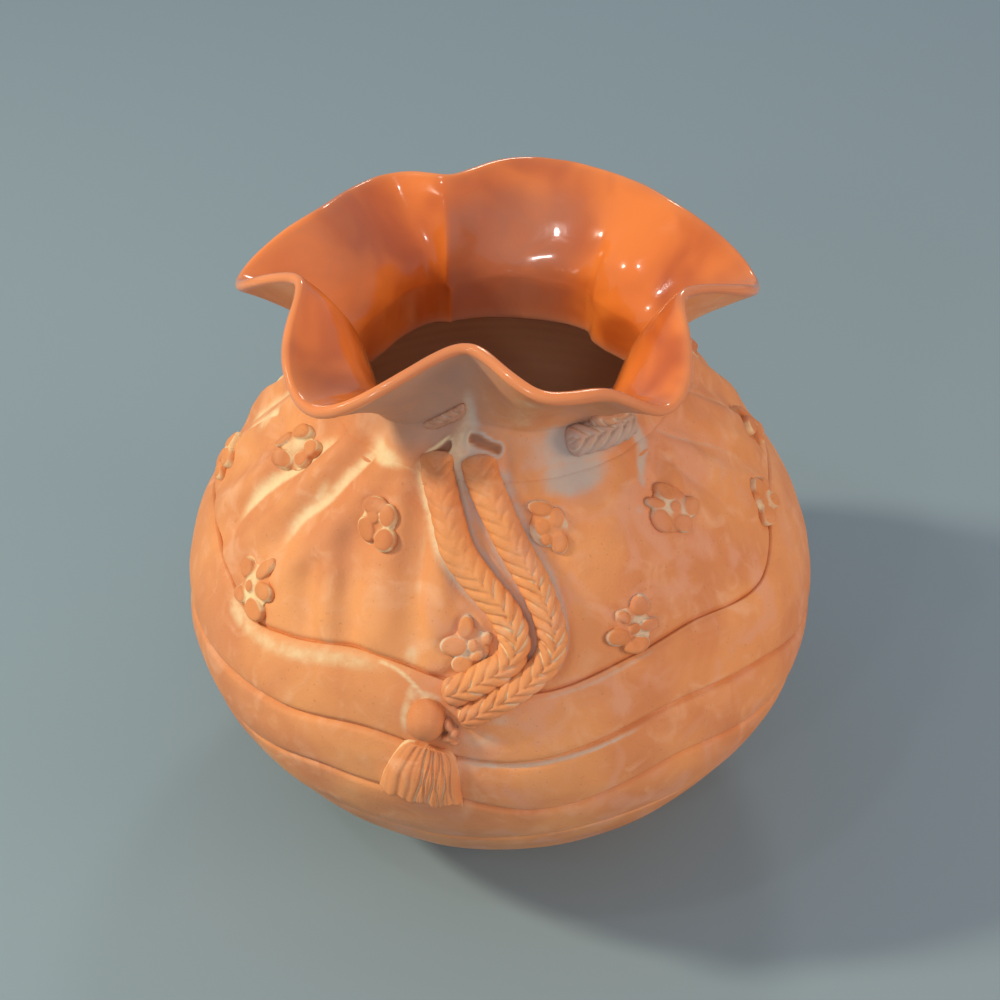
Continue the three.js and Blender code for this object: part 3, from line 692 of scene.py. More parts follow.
# %% Creases of the cloth
# Each crease: depth, half width, strength of the wash, half width of the wash, and its places
CREASES = [
    (0.8, 1.5, 0.80, 1.6, ((-194, 76), (-198, 66), (-203, 57), (-200, 49))),
    (1.1, 1.5, 0.85, 1.7, ((-175, 78), (-178.5, 73), (-183, 65), (-194, 44.5))),
    (1.4, 1.6, 0.90, 2.1, ((-145, 92), (-150, 86), (-153, 78), (-158, 68), (-161, 56), (-162.5, 41))),
    (1.2, 1.7, 0.80, 1.9, (
        (-128, 96), (-132, 92), (-136.5, 84), (-138.5, 77), (-143, 68), (-144, 61), (-145.5, 49),
    )),
    (0.4, 1.6, 0.10, 1.2, ((-134, 62), (-133.5, 57), (-132, 50), (-129, 42))),
    (0.6, 1.9, 0.05, 1.6, ((-128, 74), (-126, 67), (-123.5, 59), (-121, 51), (-120, 44))),
    (0.4, 1.4, 0.35, 1.4, (
        (-115, 94), (-112.4, 91), (-109.8, 81.7), (-108.7, 72), (-107.4, 61.9), (-104.8, 51.7),
    )),
    (0.8, 1.6, 0.90, 1.9, ((-36, 96), (-40, 91), (-45.4, 86.5), (-48, 81))),
    (0.5, 1.0, 0.45, 0.9, ((-33, 94), (-31, 90.5), (-21, 81), (-15.5, 75), (-3, 53))),
    (0.7, 1.3, 0.30, 1.2, ((-36, 91), (-36, 86), (-30.5, 75), (-27.5, 68), (-25.5, 59), (-25, 50))),
    (0.7, 1.3, 0.40, 1.3, ((-8, 92), (-5.5, 88), (-0.5, 81), (6.5, 70), (12, 58))),
    (0.3, 1.4, 0.15, 1.2, ((-46, 73), (-46.5, 66), (-47.5, 54))),
]
BACK_GATHER_TURNS = (21, 38, 55, 73, 90, 107, 125, 143, 161, 179)
BACK_GATHER_DRIFT = 0.15
BACK_CREASE_BOW = 3

for top_turn in BACK_GATHER_TURNS:
    foot_turn = top_turn + BACK_GATHER_DRIFT * (80 - top_turn)
    bow = BACK_CREASE_BOW * math.sin(top_turn)
    GATHERS.append((top_turn, 94, foot_turn, 42, 1.5, 4.4))
    CREASES.append((0.9, 1.5, 0.65, 1.7, (
        (top_turn, 97), (top_turn * 0.6 + foot_turn * 0.4 + bow, 76), (foot_turn, 44 + bow),
    )))
print("gathers:", len(GATHERS), "creases:", len(CREASES))

# %% Patches and lines of wash on the cloth and the folds
# Each patch of wash: turn, rise, half width, half height, strength
WASH_PATCHES = (
    (-127.6, 93.5, 7.0, 3.2, 1.0), (-118, 94.5, 5.0, 2.6, 0.8), (-141.5, 76, 1.8, 5.5, 0.6),
    (-178, 72, 2.4, 6.0, 0.7), (-146, 31.5, 7.0, 3.4, 0.6), (-105.6, 36, 2.2, 2.6, 0.6),
    (-93.2, 23.5, 6.0, 3.2, 0.50), (-90.5, 30.5, 5.5, 2.2, 0.45), (-94.6, 15, 3.2, 3.4, 0.5),
    (-67, 91.5, 9.5, 4.8, 1.0), (-75, 95, 4.0, 2.4, 0.7), (-101.2, 93.5, 2.6, 4.0, 0.8),
    (-99, 96.5, 5.0, 1.8, 0.9), (-107, 46, 2.6, 3.4, 0.5), (-52, 78.5, 2.0, 1.6, 0.5),
    (-106.4, 29, 1.7, 5.6, 0.65), (-102.6, 36, 4.4, 1.5, 0.65), (-97.2, 9, 1.6, 7.0, 0.5),
)
# Each line of wash: strength, half width, places
WASH_LINES = (
    (0.58, 3.0, ((-156, 36), (-148, 32.5), (-140, 31), (-132, 33.5), (-124, 38), (-116, 41), (-106, 40))),
    (0.75, 0.7, ((-114, 43), (-108.5, 41.4), (-102.4, 35))),
    (0.5, 0.8, ((-86, 35.5), (-75, 38), (-66, 41), (-58, 43))),
    (0.8, 0.6, ((-99, 15.5), (-93, 14), (-86, 13.6), (-79, 15.2), (-70, 18.4), (-62, 21.5))),
    (0.45, 0.6, ((-112, -30), (-100, -33), (-86, -31))),
)

# %% Lines of the two cords
# Turns and rises, from the neck down to the tassel
LEFT_STRAND = (
    (-111, 98.5), (-109.4, 94), (-107, 90), (-103.8, 84), (-100, 76), (-94.8, 69), (-89.4, 61.5),
    (-87.2, 54), (-88.6, 47.5), (-92.6, 43.6), (-96.6, 40), (-100.2, 37.6),
)
RIGHT_STRAND = (
    (-97.4, 99), (-95.8, 95), (-93.6, 91), (-91, 86), (-87.4, 79), (-83.2, 70), (-80.8, 62),
    (-79.8, 54), (-81, 48), (-84.4, 43), (-88.6, 38.6), (-93, 34.2), (-97, 30.2),
)

# %% Places of the blossoms
# Each blossom: turn, rise, height, and its pads. Each pad: place across and up, long and short
# radius, and the lean of the long one in degrees
FRONT_BLOSSOMS = {
    1: (-120.5, 78.7, 1.5, (
        (-3.4, 2.7, 3.2, 2.2, -159), (1.2, 1.4, 2.9, 2.3, 111), (-3.7, -3.8, 3.1, 2.4, 136),
        (2.5, -4.4, 2.9, 2.8, -72), (-2.6, -0.3, 1.6, 1.8, 112),
    )),
    2: (-145.2, 42.5, 1.5, (
        (-6.0, 2.3, 2.5, 2.3, -49), (0.3, 6.2, 3.4, 2.1, -106), (3.8, 1.2, 3.2, 2.2, -173),
        (-1.6, -0.6, 1.7, 1.5, 128), (3.2, -4.6, 3.6, 2.4, 167), (-3.6, -4.6, 2.5, 1.6, 168),
    )),
    3: (-157.8, 79.4, 1.9, (
        (-1.3, 4.4, 3.4, 2.0, -142), (-5.6, -1.9, 3.6, 2.0, -127), (-1.3, -5.2, 3.4, 2.2, -135),
        (3.7, -1.0, 2.4, 1.9, -143), (4.3, 3.4, 2.3, 2.1, -122),
    )),
    5: (-96.2, 53.5, 1.8, (
        (-0.8, 3.1, 2.8, 1.8, 85), (-3.3, -2.0, 3.4, 2.4, -173), (-1.1, -6.6, 2.5, 2.2, 0),
        (4.9, 0.4, 1.6, 1.2, 95), (1.3, -1.6, 1.3, 1.6, 5), (2.4, -4.0, 1.8, 1.2, 40),
    )),
    6: (-77.0, 82.4, 1.0, (
        (-1.9, 3.7, 3.1, 1.8, 161), (-2.1, -1.0, 2.0, 1.8, 84), (1.9, 0.8, 2.5, 2.0, 82),
        (1.6, -5.4, 2.7, 2.0, 93), (-1.6, -4.2, 1.5, 1.4, 80),
    )),
    7: (-63.4, 51.3, 1.5, (
        (3.6, 4.4, 2.6, 2.3, 72), (-4.4, -1.6, 3.0, 2.1, 172), (4.6, -1.1, 2.9, 1.6, -4),
        (-0.1, -4.8, 3.3, 2.0, 180), (-1.7, 3.1, 2.0, 1.4, 130), (0.5, -0.6, 1.5, 1.5, 74),
    )),
    8: (-43.3, 74.3, 1.2, (
        (5.6, -2.4, 2.5, 2.7, 50), (0.9, -4.7, 3.2, 2.2, 144), (-4.6, -0.8, 3.2, 2.4, 103),
        (-4.0, 4.0, 2.8, 1.4, 143), (0.9, 0.3, 1.8, 1.5, 151), (0.8, 5.0, 2.8, 2.0, 114),
    )),
    9: (-14.2, 53, 1.4, (
        (0.6, 3.4, 2.6, 2.4, 92), (-3.6, -3.4, 2.6, 2.9, 83), (-1.2, -0.4, 1.6, 1.8, 55),
        (3.0, -3.6, 2.5, 2.0, -50), (4.2, 1.2, 2.3, 1.8, 10),
    )),
}
# Each blossom that the front doesn't show: turn, rise, spin in degrees, radius
BACK_BLOSSOMS = {
    4: (174.5, 46, 30, 8), 10: (8, 58, 5, 7.6), 11: (32, 74, 50, 7.6), 12: (58, 54, 20, 8),
    13: (84, 72, 0, 7.6), 14: (110, 55, 45, 8), 15: (140, 73, 25, 7.6),
}
PETALS = 5
RING_REACH, PETAL_SIZE, PETAL_SHORTNESS = 0.60, 0.36, 0.8


def plain_pads(index, spin, radius):
    """Five uneven pads in a ring round a boss, as shares of the radius."""
    pads = [(0.04 * radius, -0.03 * radius, 0.23 * radius, 0.2 * radius, spin)]
    for petal in range(PETALS):
        angle = math.radians(spin + petal * 360 / PETALS + 7 * math.sin(index * 4 + petal * 7))
        reach = radius * (RING_REACH + 0.04 * math.sin(index * 3 + petal * 2))
        size = radius * (PETAL_SIZE + 0.04 * math.sin(index * 5 + petal * 4))
        x, y = reach * math.cos(angle), reach * math.sin(angle)
        pads.append((x, y, size, size * PETAL_SHORTNESS, math.degrees(angle) + 25))
    return pads


BLOSSOMS = dict(FRONT_BLOSSOMS)
for index, (turn, rise, spin, radius) in BACK_BLOSSOMS.items():
    BLOSSOMS[index] = (turn, rise, 1.5 + 0.3 * math.sin(index * 2), plain_pads(index, spin, radius))
print("blossoms:", len(BLOSSOMS), "pads:", sum(len(row[3]) for row in BLOSSOMS.values()))

# %% Level of the gathered cloth
cloth_hem = closed_curve(CLOTH_HEM, 1)


def gathered_lift(turn, rise):
    """Height of the gathered sheet over the outline, before the finer marks."""
    lift = CLOTH_LIFT + 0 * turn * rise
    radius = radius_at(rise)
    for top_turn, top_rise, foot_turn, foot_rise, depth, width in GATHERS:
        share = (top_rise - rise) / (top_rise - foot_rise)
        middle = top_turn + turn_gap(foot_turn, top_turn) * share
        away = np.radians(turn_gap(turn, middle)) * radius
        fade = soft_span(share, -0.15, 0.1, 0.8, 1.15)
        ridge = bell(np.abs(away) - 2 * width, width)
        lift = lift + depth * fade * (0.5 * ridge - bell(away, width))
    return lift


def kept_whole(lift):
    """Keeps the deepest marks shallower than the sheet is thick."""
    return np.where(lift < 0, DEEPEST_MARK * np.tanh(lift / DEEPEST_MARK), lift)


def seat_lift(turn, rise):
    """Level on which the cord, tassel and blossoms lie."""
    cloth = kept_whole(gathered_lift(turn, rise))
    share = soft_step(rise - cloth_hem(turn), 0, 6)
    return np.maximum(ROLL_CREST + (cloth - ROLL_CREST) * share, cloth)


# %% Marks beside the cords
CORD_HALF_WIDTH = 4.4
# Wash beside each cord: at its left and right near the neck, and at its left further down
CORD_SIDES = ((LEFT_STRAND, 0.9, 0.7, 0.25), (RIGHT_STRAND, 0.7, 0.75, 0.55))


def cord_marks(turn, rise):
    """Dent beside the cords, and the wash that stays along their edges."""
    dent = 0
    wash = 0
    for strand, left_wash, right_wash, late_wash in CORD_SIDES:
        away, share = distance_to(through(strand, 60), turn, rise)
        width = CORD_HALF_WIDTH * (1 - 0.2 * share)
        beside = np.abs(away) - width
        dent = np.maximum(dent, bell(beside - 0.6, 1.6) * soft_step(1.2 - beside, -4, 0))
        early = 1 - soft_step(share, 0.35, 0.62)
        right_early = 1 - soft_step(share, 0.62, 0.9)
        strength = np.where(away < 0, left_wash * early + late_wash * (1 - early), right_wash * right_early)
        wash = np.maximum(wash, strength * bell(np.maximum(beside - 0.3, 0), 0.8 + 1.5 * early))
    return dent, wash


# %% Marks round the blossoms, and the other wash
def blossom_marks(turn, rise):
    """Dent pressed round the blossoms, and the wash that stays in parts of it."""
    dent = np.zeros(np.broadcast(turn, rise).shape)
    wash = np.zeros_like(dent)
    for index, (blossom_turn, blossom_rise, _, pads) in BLOSSOMS.items():
        side = np.radians(turn_gap(turn, blossom_turn)) * radius_at(rise)
        up = run_at(rise) - run_at(blossom_rise)
        near = np.hypot(side, up) < 14
        beyond = np.full(near.sum(), 99.0)
        for x, y, long_radius, short_radius, lean in pads:
            angle = math.radians(lean)
            ahead = ((side[near] - x) * math.cos(angle) + (up[near] - y) * math.sin(angle)) / long_radius
            aside = ((up[near] - y) * math.cos(angle) - (side[near] - x) * math.sin(angle)) / short_radius
            beyond = np.minimum(beyond, (np.hypot(ahead, aside) - 1) * (long_radius + short_radius) / 2)
        edge = bell(np.maximum(beyond, 0), 0.8)
        round_it = np.arctan2(up[near], side[near]) + 2.1 + 0.5 * index
        dent[near] = np.maximum(dent[near], bell(np.maximum(beyond, 0), 1.3))
        wash[near] = np.maximum(wash[near], edge * (0.20 + 0.60 * soft_step(np.cos(round_it), -0.2, 0.8)))
    return dent, wash


def wash_marks(turn, rise):
    """Wash in the patches and along the lines."""
    wash = np.zeros(np.broadcast(turn, rise).shape)
    for patch_turn, patch_rise, half_width, half_height, strength in WASH_PATCHES:
        side = np.radians(turn_gap(turn, patch_turn)) * radius_at(rise) / half_width
        up = (run_at(rise) - run_at(patch_rise)) / half_height
        wash = np.maximum(wash, strength * np.exp(-((side**2 + up**2) ** 1.5)))
    for strength, half_width, route in WASH_LINES:
        away, share = distance_to(through(route, 16), turn, rise)
        ends = soft_span(share, 0, 0.2, 0.8, 1)
        wash = np.maximum(wash, strength * ends * bell(away, half_width))
    return wash


# %% Surface of the cloth
HEM_TUCK = 1.3
TOP_TUCK, TOP_TUCK_RISES = 1.2, (92.3, 94.5)
CLOTH_ROWS = 110
SWELL_ROUTE = ((-107.5, 76), (-105.5, 68), (-103.5, 60), (-101, 52))
SWELL_HEIGHT, SWELL_HALF_WIDTH = 1.1, 4.5
SHARP_SIDE, BROAD_SIDE = 0.85, 1.4
CORD_DENT, BLOSSOM_DENT = 0.7, 0.5
HOLLOW_WASH = 0.18


def cool_share(turn):
    """Share of painted shade tint: small on the left and towards the back, most on the shaded front right,
    where it makes the wash greyer and the clay pinker.
    """
    return 0.12 + 0.75 * soft_span(turn_gap(turn, -104), -6, 8, 70, 120)


def swell_lift(turn, rise):
    """A smooth raised place between a crease and the left strand."""
    away, share = distance_to(through(SWELL_ROUTE, 16), turn, rise)
    swell = np.exp(-np.abs(away / SWELL_HALF_WIDTH) ** 3)
    return SWELL_HEIGHT * swell * soft_span(share, 0, 0.35, 0.7, 1)


def cloth_relief(turn, rise):
    """Height of the finished cloth over the outline, and the wash on it."""
    lift = gathered_lift(turn, rise)
    wash = np.zeros_like(lift)
    for depth, width, strength, spread, route in CREASES:
        away, place = distance_to(through(route, 24), turn, rise)
        slope = BROAD_SIDE + (SHARP_SIDE - BROAD_SIDE) * soft_step(away, -0.8, 0.8)
        ends = soft_span(place, 0, 0.25, 0.72, 1)
        lift = lift - depth * bell(away, width * slope) * ends
        waist = spread * slope * (0.5 + 0.5 * ends)
        wash = np.maximum(wash, strength * bell(away, waist) * ends)
    cord_dent, cord_wash = cord_marks(turn, rise)
    blossom_dent, blossom_wash = blossom_marks(turn, rise)
    lift = lift - CORD_DENT * cord_dent - BLOSSOM_DENT * blossom_dent + swell_lift(turn, rise)
    wash = np.maximum(np.maximum(wash, cord_wash), np.maximum(blossom_wash, wash_marks(turn, rise)))
    points = wall(turn, rise, lift)
    lift = kept_whole(lift) + 0.40 * hand_marks(points, 15) + 0.14 * hand_marks(points, 5)
    return lift, np.maximum(wash, soft_step(CLOTH_LIFT - lift, 1.0, 2.4) * HOLLOW_WASH)


def with_back(front, foot, top, **paints):
    """Adds the hidden back of a sheet to its front, and leaves it unpainted."""
    back_rise = foot + (top - foot) * np.array([[1, 0.67, 0.33, 0]])
    bare = np.zeros(back_rise.shape)
    painted = {name: np.concatenate([values, bare], 1) for name, values in paints.items()}
    return np.concatenate([front, wall(fine_turns, back_rise, -SKIN_THICKNESS)], 1), painted


# %% The gathered cloth
hem = cloth_hem(fine_turns)
rise = hem + (CLOTH_TOP_RISE - hem) * np.linspace(0, 1, CLOTH_ROWS)[None, :] ** 1.15
turn = fine_turns + 0 * rise
above_hem = run_at(rise) - run_at(hem)
lift, wash = cloth_relief(turn, rise)
tuck = HEM_TUCK * bell(above_hem, 1.1) + TOP_TUCK * soft_step(rise, *TOP_TUCK_RISES)
front = wall(turn, rise, np.maximum(lift - tuck, -DEEPEST_MARK))
wash = np.maximum(wash, 0.22 * bell(above_hem, 1.0))
sheet = with_back(front, hem, CLOTH_TOP_RISE, wash=wash, cool=cool_share(turn))
gathered_cloth = ring_of_clay("gathered_cloth", *sheet)
settle(gathered_cloth, "shoulder_cloth", clay_cloth)

# %% [markdown]
# Below the hem the cloth is wrapped round the belly in four broad folds. Each one is a soft roll
# whose lower edge lies over the next, so the section is fuller at its foot than at its top, and the
# wash gathers in the crease.

# %% Edges of the wrapped folds
FIRST_FOLD = (
    (-160, 7), (-131, 14), (-113, 20.5), (-88, 14.5), (-58, 23.5), (-40, 18.5), (-19, 6), (20, -2), (70, 4),
    (120, 0), (165, 3),
)
SECOND_FOLD = (
    (-141, -14), (-120, -2), (-100, -1), (-83, -8.5), (-58, 2.5), (-39, -5), (0, -18), (60, -16),
    (120, -21), (170, -19),
)
THIRD_FOLD = (
    (-140, -36), (-113, -30), (-100, -33), (-86, -31), (-64, -25), (-35, -32), (10, -40), (75, -36),
    (130, -41), (180, -40),
)
first_fold = closed_curve(FIRST_FOLD, 1)
second_fold = closed_curve(SECOND_FOLD, 1)
third_fold = closed_curve(THIRD_FOLD, 1)


def foot_ledge(turn):
    return FOOT_LEDGE_RISE + 0 * turn


# %% The wrapped folds
ROLL_FALL, UNDER_FALL = 0.75, 0.45
EDGE_TUCK, EDGE_WIDTH = 1.35, 1.0
HEM_EDGE_TUCK = 0.5
LONG_DENT, SMALL_DENT = 0.32, 0.08
CREASE_WASH = 0.20
BAND_ROWS = 34
# Each fold: piece, node, upper and lower edge, tuck and wash at its top
WRAPPED_FOLDS = (
    ("fold_upper", "wrap_band_upper", cloth_hem, first_fold, HEM_EDGE_TUCK, 0.28),
    ("fold_middle", "wrap_band_middle", first_fold, second_fold, EDGE_TUCK, 0.24),
    ("fold_lower", "wrap_band_lower", second_fold, third_fold, EDGE_TUCK, 0.24),
    ("fold_foot", "wrap_band_foot", third_fold, foot_ledge, EDGE_TUCK, 0.24),
)

for name, node, upper_edge, lower_edge, top_tuck, top_wash in WRAPPED_FOLDS:
    top = upper_edge(fine_turns)
    foot = lower_edge(fine_turns)
    share = (0.5 - 0.5 * np.cos(np.linspace(0, math.pi, BAND_ROWS)))[None, :]
    rise = foot + (top - foot) * share
    turn = fine_turns + 0 * rise
    from_foot = run_at(rise) - run_at(foot)
    from_top = run_at(top) - run_at(rise)
    roll = (2 * share - 1) ** 2 * np.where(share > 0.5, 1, UNDER_FALL)
    lift = ROLL_CREST + 0.1 - ROLL_FALL * roll - EDGE_TUCK * bell(from_foot, EDGE_WIDTH * 0.8)
    lift = lift - top_tuck * bell(from_top, EDGE_WIDTH)
    points = wall(turn, rise, lift)
    marks = LONG_DENT * hand_marks(points, 22, (1, 1, 3)) + SMALL_DENT * hand_marks(points, 6)
    lift = lift + marks * soft_step(from_foot, 0, 3)
    smear = top_wash * bell(from_top, 9) * soft_step(hand_marks(points, 24), -0.1, 0.6)
    wash = np.maximum(CREASE_WASH * bell(from_top, 1.0), np.maximum(smear, wash_marks(turn, rise)))
    # The low front, turned down to the floor, gets painted shade tint: pinker clay and greyer wash as painted
    # bounce light.
    low_front = soft_step(-rise, 5, 45) * bell(turn_gap(turn, -90), 55)
    cool = np.maximum(cool_share(turn) * 0.8, low_front)
    sheet = with_back(wall(turn, rise, lift), foot, top, wash=wash, cool=cool)
    settle(ring_of_clay(name, *sheet), node, clay_bands)

# %% [markdown]
# The ruffled mouth is a collar of clay that was pulled thin and folded by hand into lobes. Each turn
# has its own lean and its own length of wall. The section starts in a soft hollow on the shoulder,
# climbs the outside, rounds the lip and goes down inside to the throat. A bent sheet with thickness
# could make it too, but its folds would pinch, so both faces are set out from the middle of the wall.

# %% Folds of the mouth
# Each fold: turn, lean from upright, length of wall
RUFFLE_FOLDS = (
    (-188, 60, 36.8), (-166, 23, 36.3), (-134, 55, 36), (-100, 10.5, 36), (-78, 33.5, 35.8),
    (-65, 36, 35.8), (-51, 51, 34.5), (-25, 19, 36.8), (9, 59, 35.6), (37, 35, 33.4), (78, 38, 33.8),
    (107, 17, 30), (124, 40, 33.8), (149, 33, 33.4),
)
THROAT_RADIUS = 36
THROAT_FOLD = 2.2
RUFFLE_WALL = 4.4
LIP_WALL = 2.9
MEAN_LEAN, LEAN_SWING = 35, 25
PIVOT_OUT, PIVOT_HEIGHT = 2, 147
RISE_SHARE, REACH_SHARE = 0.52, 0.12
SPIGOT_RADIUS = 40.7
SPIGOT_FOOT = 136.5
SEAT_HEIGHT = 141.3
HOLLOW_TOP_SHARE = 0.16
HOLLOW_FOOT_RISE = 92
HOLLOW_SUNK, HOLLOW_REACH, HOLLOW_PROUD = 0.35, 6.0, 0.9
# Lines up the inside, as shares of the wall and turns: a sharp fold, and the left edge of a pillar
RIDGE_SHARES, RIDGE_TURNS = (-0.3, 0.03, 0.46, 0.78, 0.94), (116, 114.5, 111.5, 110, 109.5)
PILLAR_SHARES, PILLAR_TURNS = (-0.3, 0.0, 0.24, 0.49, 0.73, 1), (45.5, 44.5, 45, 46, 45.5, 44)
RIDGE_DEPTH, PILLAR_DEPTH, FLAT_DEPTH = 1.7, 2.6, 3.0
RUFFLE_TURNS = 640

ruffle_lean = softened(closed_curve(RUFFLE_FOLDS, 1), 2.4)
ruffle_length = softened(closed_curve(RUFFLE_FOLDS, 2), 4)


def fold_swing(turn):
    """-1 in the deepest fold, 1 at the widest lobe."""
    return (ruffle_lean(turn) - MEAN_LEAN) / LEAN_SWING


def ruffle_middle(turn, share):
    """Middle of the wall, from the throat at 0 to the lip at 1."""
    lean = np.radians(ruffle_lean(turn))
    length = ruffle_length(turn)
    start_radius = THROAT_RADIUS + RUFFLE_WALL / 2 + THROAT_FOLD * fold_swing(turn)
    lip_radius = THROAT_RADIUS + PIVOT_OUT + length * np.sin(lean)
    lip_height = PIVOT_HEIGHT + length * np.cos(lean)
    bend_radius = start_radius + (lip_radius - start_radius) * REACH_SHARE
    bend_height = NECK_HEIGHT + (lip_height - NECK_HEIGHT) * RISE_SHARE
    rest = 1 - share
    radius = rest**2 * start_radius + 2 * rest * share * bend_radius + share**2 * lip_radius
    height = rest**2 * NECK_HEIGHT + 2 * rest * share * bend_height + share**2 * lip_height
    return round_the_vase(turn, radius, height)


# %% Faces of the mouth's wall
def unit(vectors):
    return vectors / np.linalg.norm(vectors, axis=-1, keepdims=True)


def ruffle_frame(turn, share):
    """Middle of the wall, the way out of it and the way up along it."""
    around = ruffle_middle(turn + 1, share) - ruffle_middle(turn - 1, share)
    upward = unit(ruffle_middle(turn, share + 0.01) - ruffle_middle(turn, share - 0.01))
    return ruffle_middle(turn, share), unit(np.cross(around, upward)), upward


def from_inner_lines(turn, share):
    """Turn from the sharp fold inside, and from the pillar's edge."""
    from_ridge = turn_gap(turn, np.interp(share, RIDGE_SHARES, RIDGE_TURNS))
    return from_ridge, turn_gap(np.interp(share, PILLAR_SHARES, PILLAR_TURNS), turn)


def inner_folds(turn, share):
    """How far the inside stands in: a sharp fold, a pillar, and a flatter wall between them."""
    from_ridge, from_edge = from_inner_lines(turn, share)
    ridge = RIDGE_DEPTH * np.exp(-np.abs(from_ridge) / 5) * (1 - soft_step(share, 0.8, 1))
    pillar = PILLAR_DEPTH * soft_span(from_edge, -4, 6, 12, 34) * (1 - soft_step(share, 0.35, 0.85))
    flat = FLAT_DEPTH * soft_step(from_ridge, 0, -34) * soft_step(from_edge, 0, -34)
    return ridge + pillar + flat * (1 - soft_step(share, 0, 0.7))


def ruffle_wall(turn, share, side):
    """A face of the wall: the outer one for side 1, the inner one for side -1."""
    middle, outward, _ = ruffle_frame(turn, share)
    half = (RUFFLE_WALL + (LIP_WALL - RUFFLE_WALL) * np.clip(share, 0, 1)) / 2
    if side < 0:
        half = half + inner_folds(turn, share)
    return middle + outward * (half * side)[..., None]


# %% Slits, wash, painted light and shade of the mouth
SLITS = (((-113, 146.2), (-108, 150)), ((-100, 152), (-90.5, 150.6)))


def from_slits(turn, height):
    """Distance to the nearest of two narrow slits in the neck, where the cord comes out."""
    nearest = np.full(turn.shape, 99.0)
    for (start_turn, start_height), (end_turn, end_height) in SLITS:
        side = np.radians(end_turn - start_turn) * NECK_RADIUS
        up = end_height - start_height
        from_side = np.radians(turn_gap(turn, start_turn)) * NECK_RADIUS
        from_up = height - start_height
        t = np.clip((from_side * side + from_up * up) / (side**2 + up**2), 0, 1)
        nearest = np.minimum(nearest, np.hypot(from_side - t * side, from_up - t * up))
    return nearest


def neck_wash(turn, height):
    """Wash on the outside of the mouth: a streak over the cords, a patch at the right, the right tip, and the
    painted light on the lit flank.
    """
    streak_width = 3.5 + 5 * (1 - soft_step(height, 148, 159))
    streak = 0.85 * bell(turn_gap(turn, -101), streak_width) * (1 - soft_step(height, 156, 174))
    patch = 0.95 * bell(turn_gap(turn, -66), 15) * (1 - soft_step(height, 151, 160))
    right_tip = 0.45 * bell(turn_gap(turn, -2), 14) * soft_step(height, 158, 164)
    wash = np.maximum(np.maximum(streak, patch), right_tip) * soft_step(height, 143, 147)
    return np.maximum(wash, lit_flank(turn, height))


def lit_flank(turn, height):
    """Painted light on the flank right of the front fold: a pale warm wash there."""
    return 0.45 * bell(turn_gap(turn, -82), 7) * soft_span(height, 152, 159, 170, 178)


def dull_clay(turn, height):
    """Share of greyer clay and painted shade under the front of the mouth, less on the painted lit flank."""
    front = 0.88 * bell(turn_gap(turn, -113), 23) + 0.4 * bell(turn_gap(turn, -48), 18)
    return (0.05 + front) * soft_step(height, 144.5, 152) * (1 - 2 * lit_flank(turn, height))


# %% Painted reflection and shade in the glaze
def veil(turn, share):
    """Painted reflection and shade inside, pinkish: on the flat wall and on parts of two lobes."""
    from_ridge, from_edge = from_inner_lines(turn, share)
    panel = soft_step(from_ridge, 0.5, -2) * soft_step(from_edge, 2, -30)
    panel = panel * (1 - 0.7 * soft_step(share, 0.6, 0.9))
    left_lobe = bell(turn_gap(turn, 155), 17) * soft_step(share, 0.30, 0.6)
    right_lobe = bell(turn_gap(turn, 4), 11) * soft_step(share, 0.35, 0.7)
    return np.maximum(panel, np.maximum(0.55 * left_lobe, 0.5 * right_lobe))


def thick_glaze(turn, share):
    """Painted shade in the deep fold left of the ridge, and a darker stripe."""
    fold = 0.95 * bell(turn_gap(turn, 129), 12)
    stripe = 0.7 * bell(turn_gap(turn, 64), 7)
    return np.maximum(fold, stripe) * (1 - 0.6 * soft_step(share, 0.8, 1))


# %% Section of the mouth
HOLLOW_ROWS, OUTER_ROWS, LIP_ROWS, INNER_ROWS = 24, 38, 12, 44
THROAT_HEIGHTS = (148.5, 146.5, 144, 141.5, 139, 137.6)
SPIGOT_BEVEL = 0.8
SEAT_STEP = 1.5


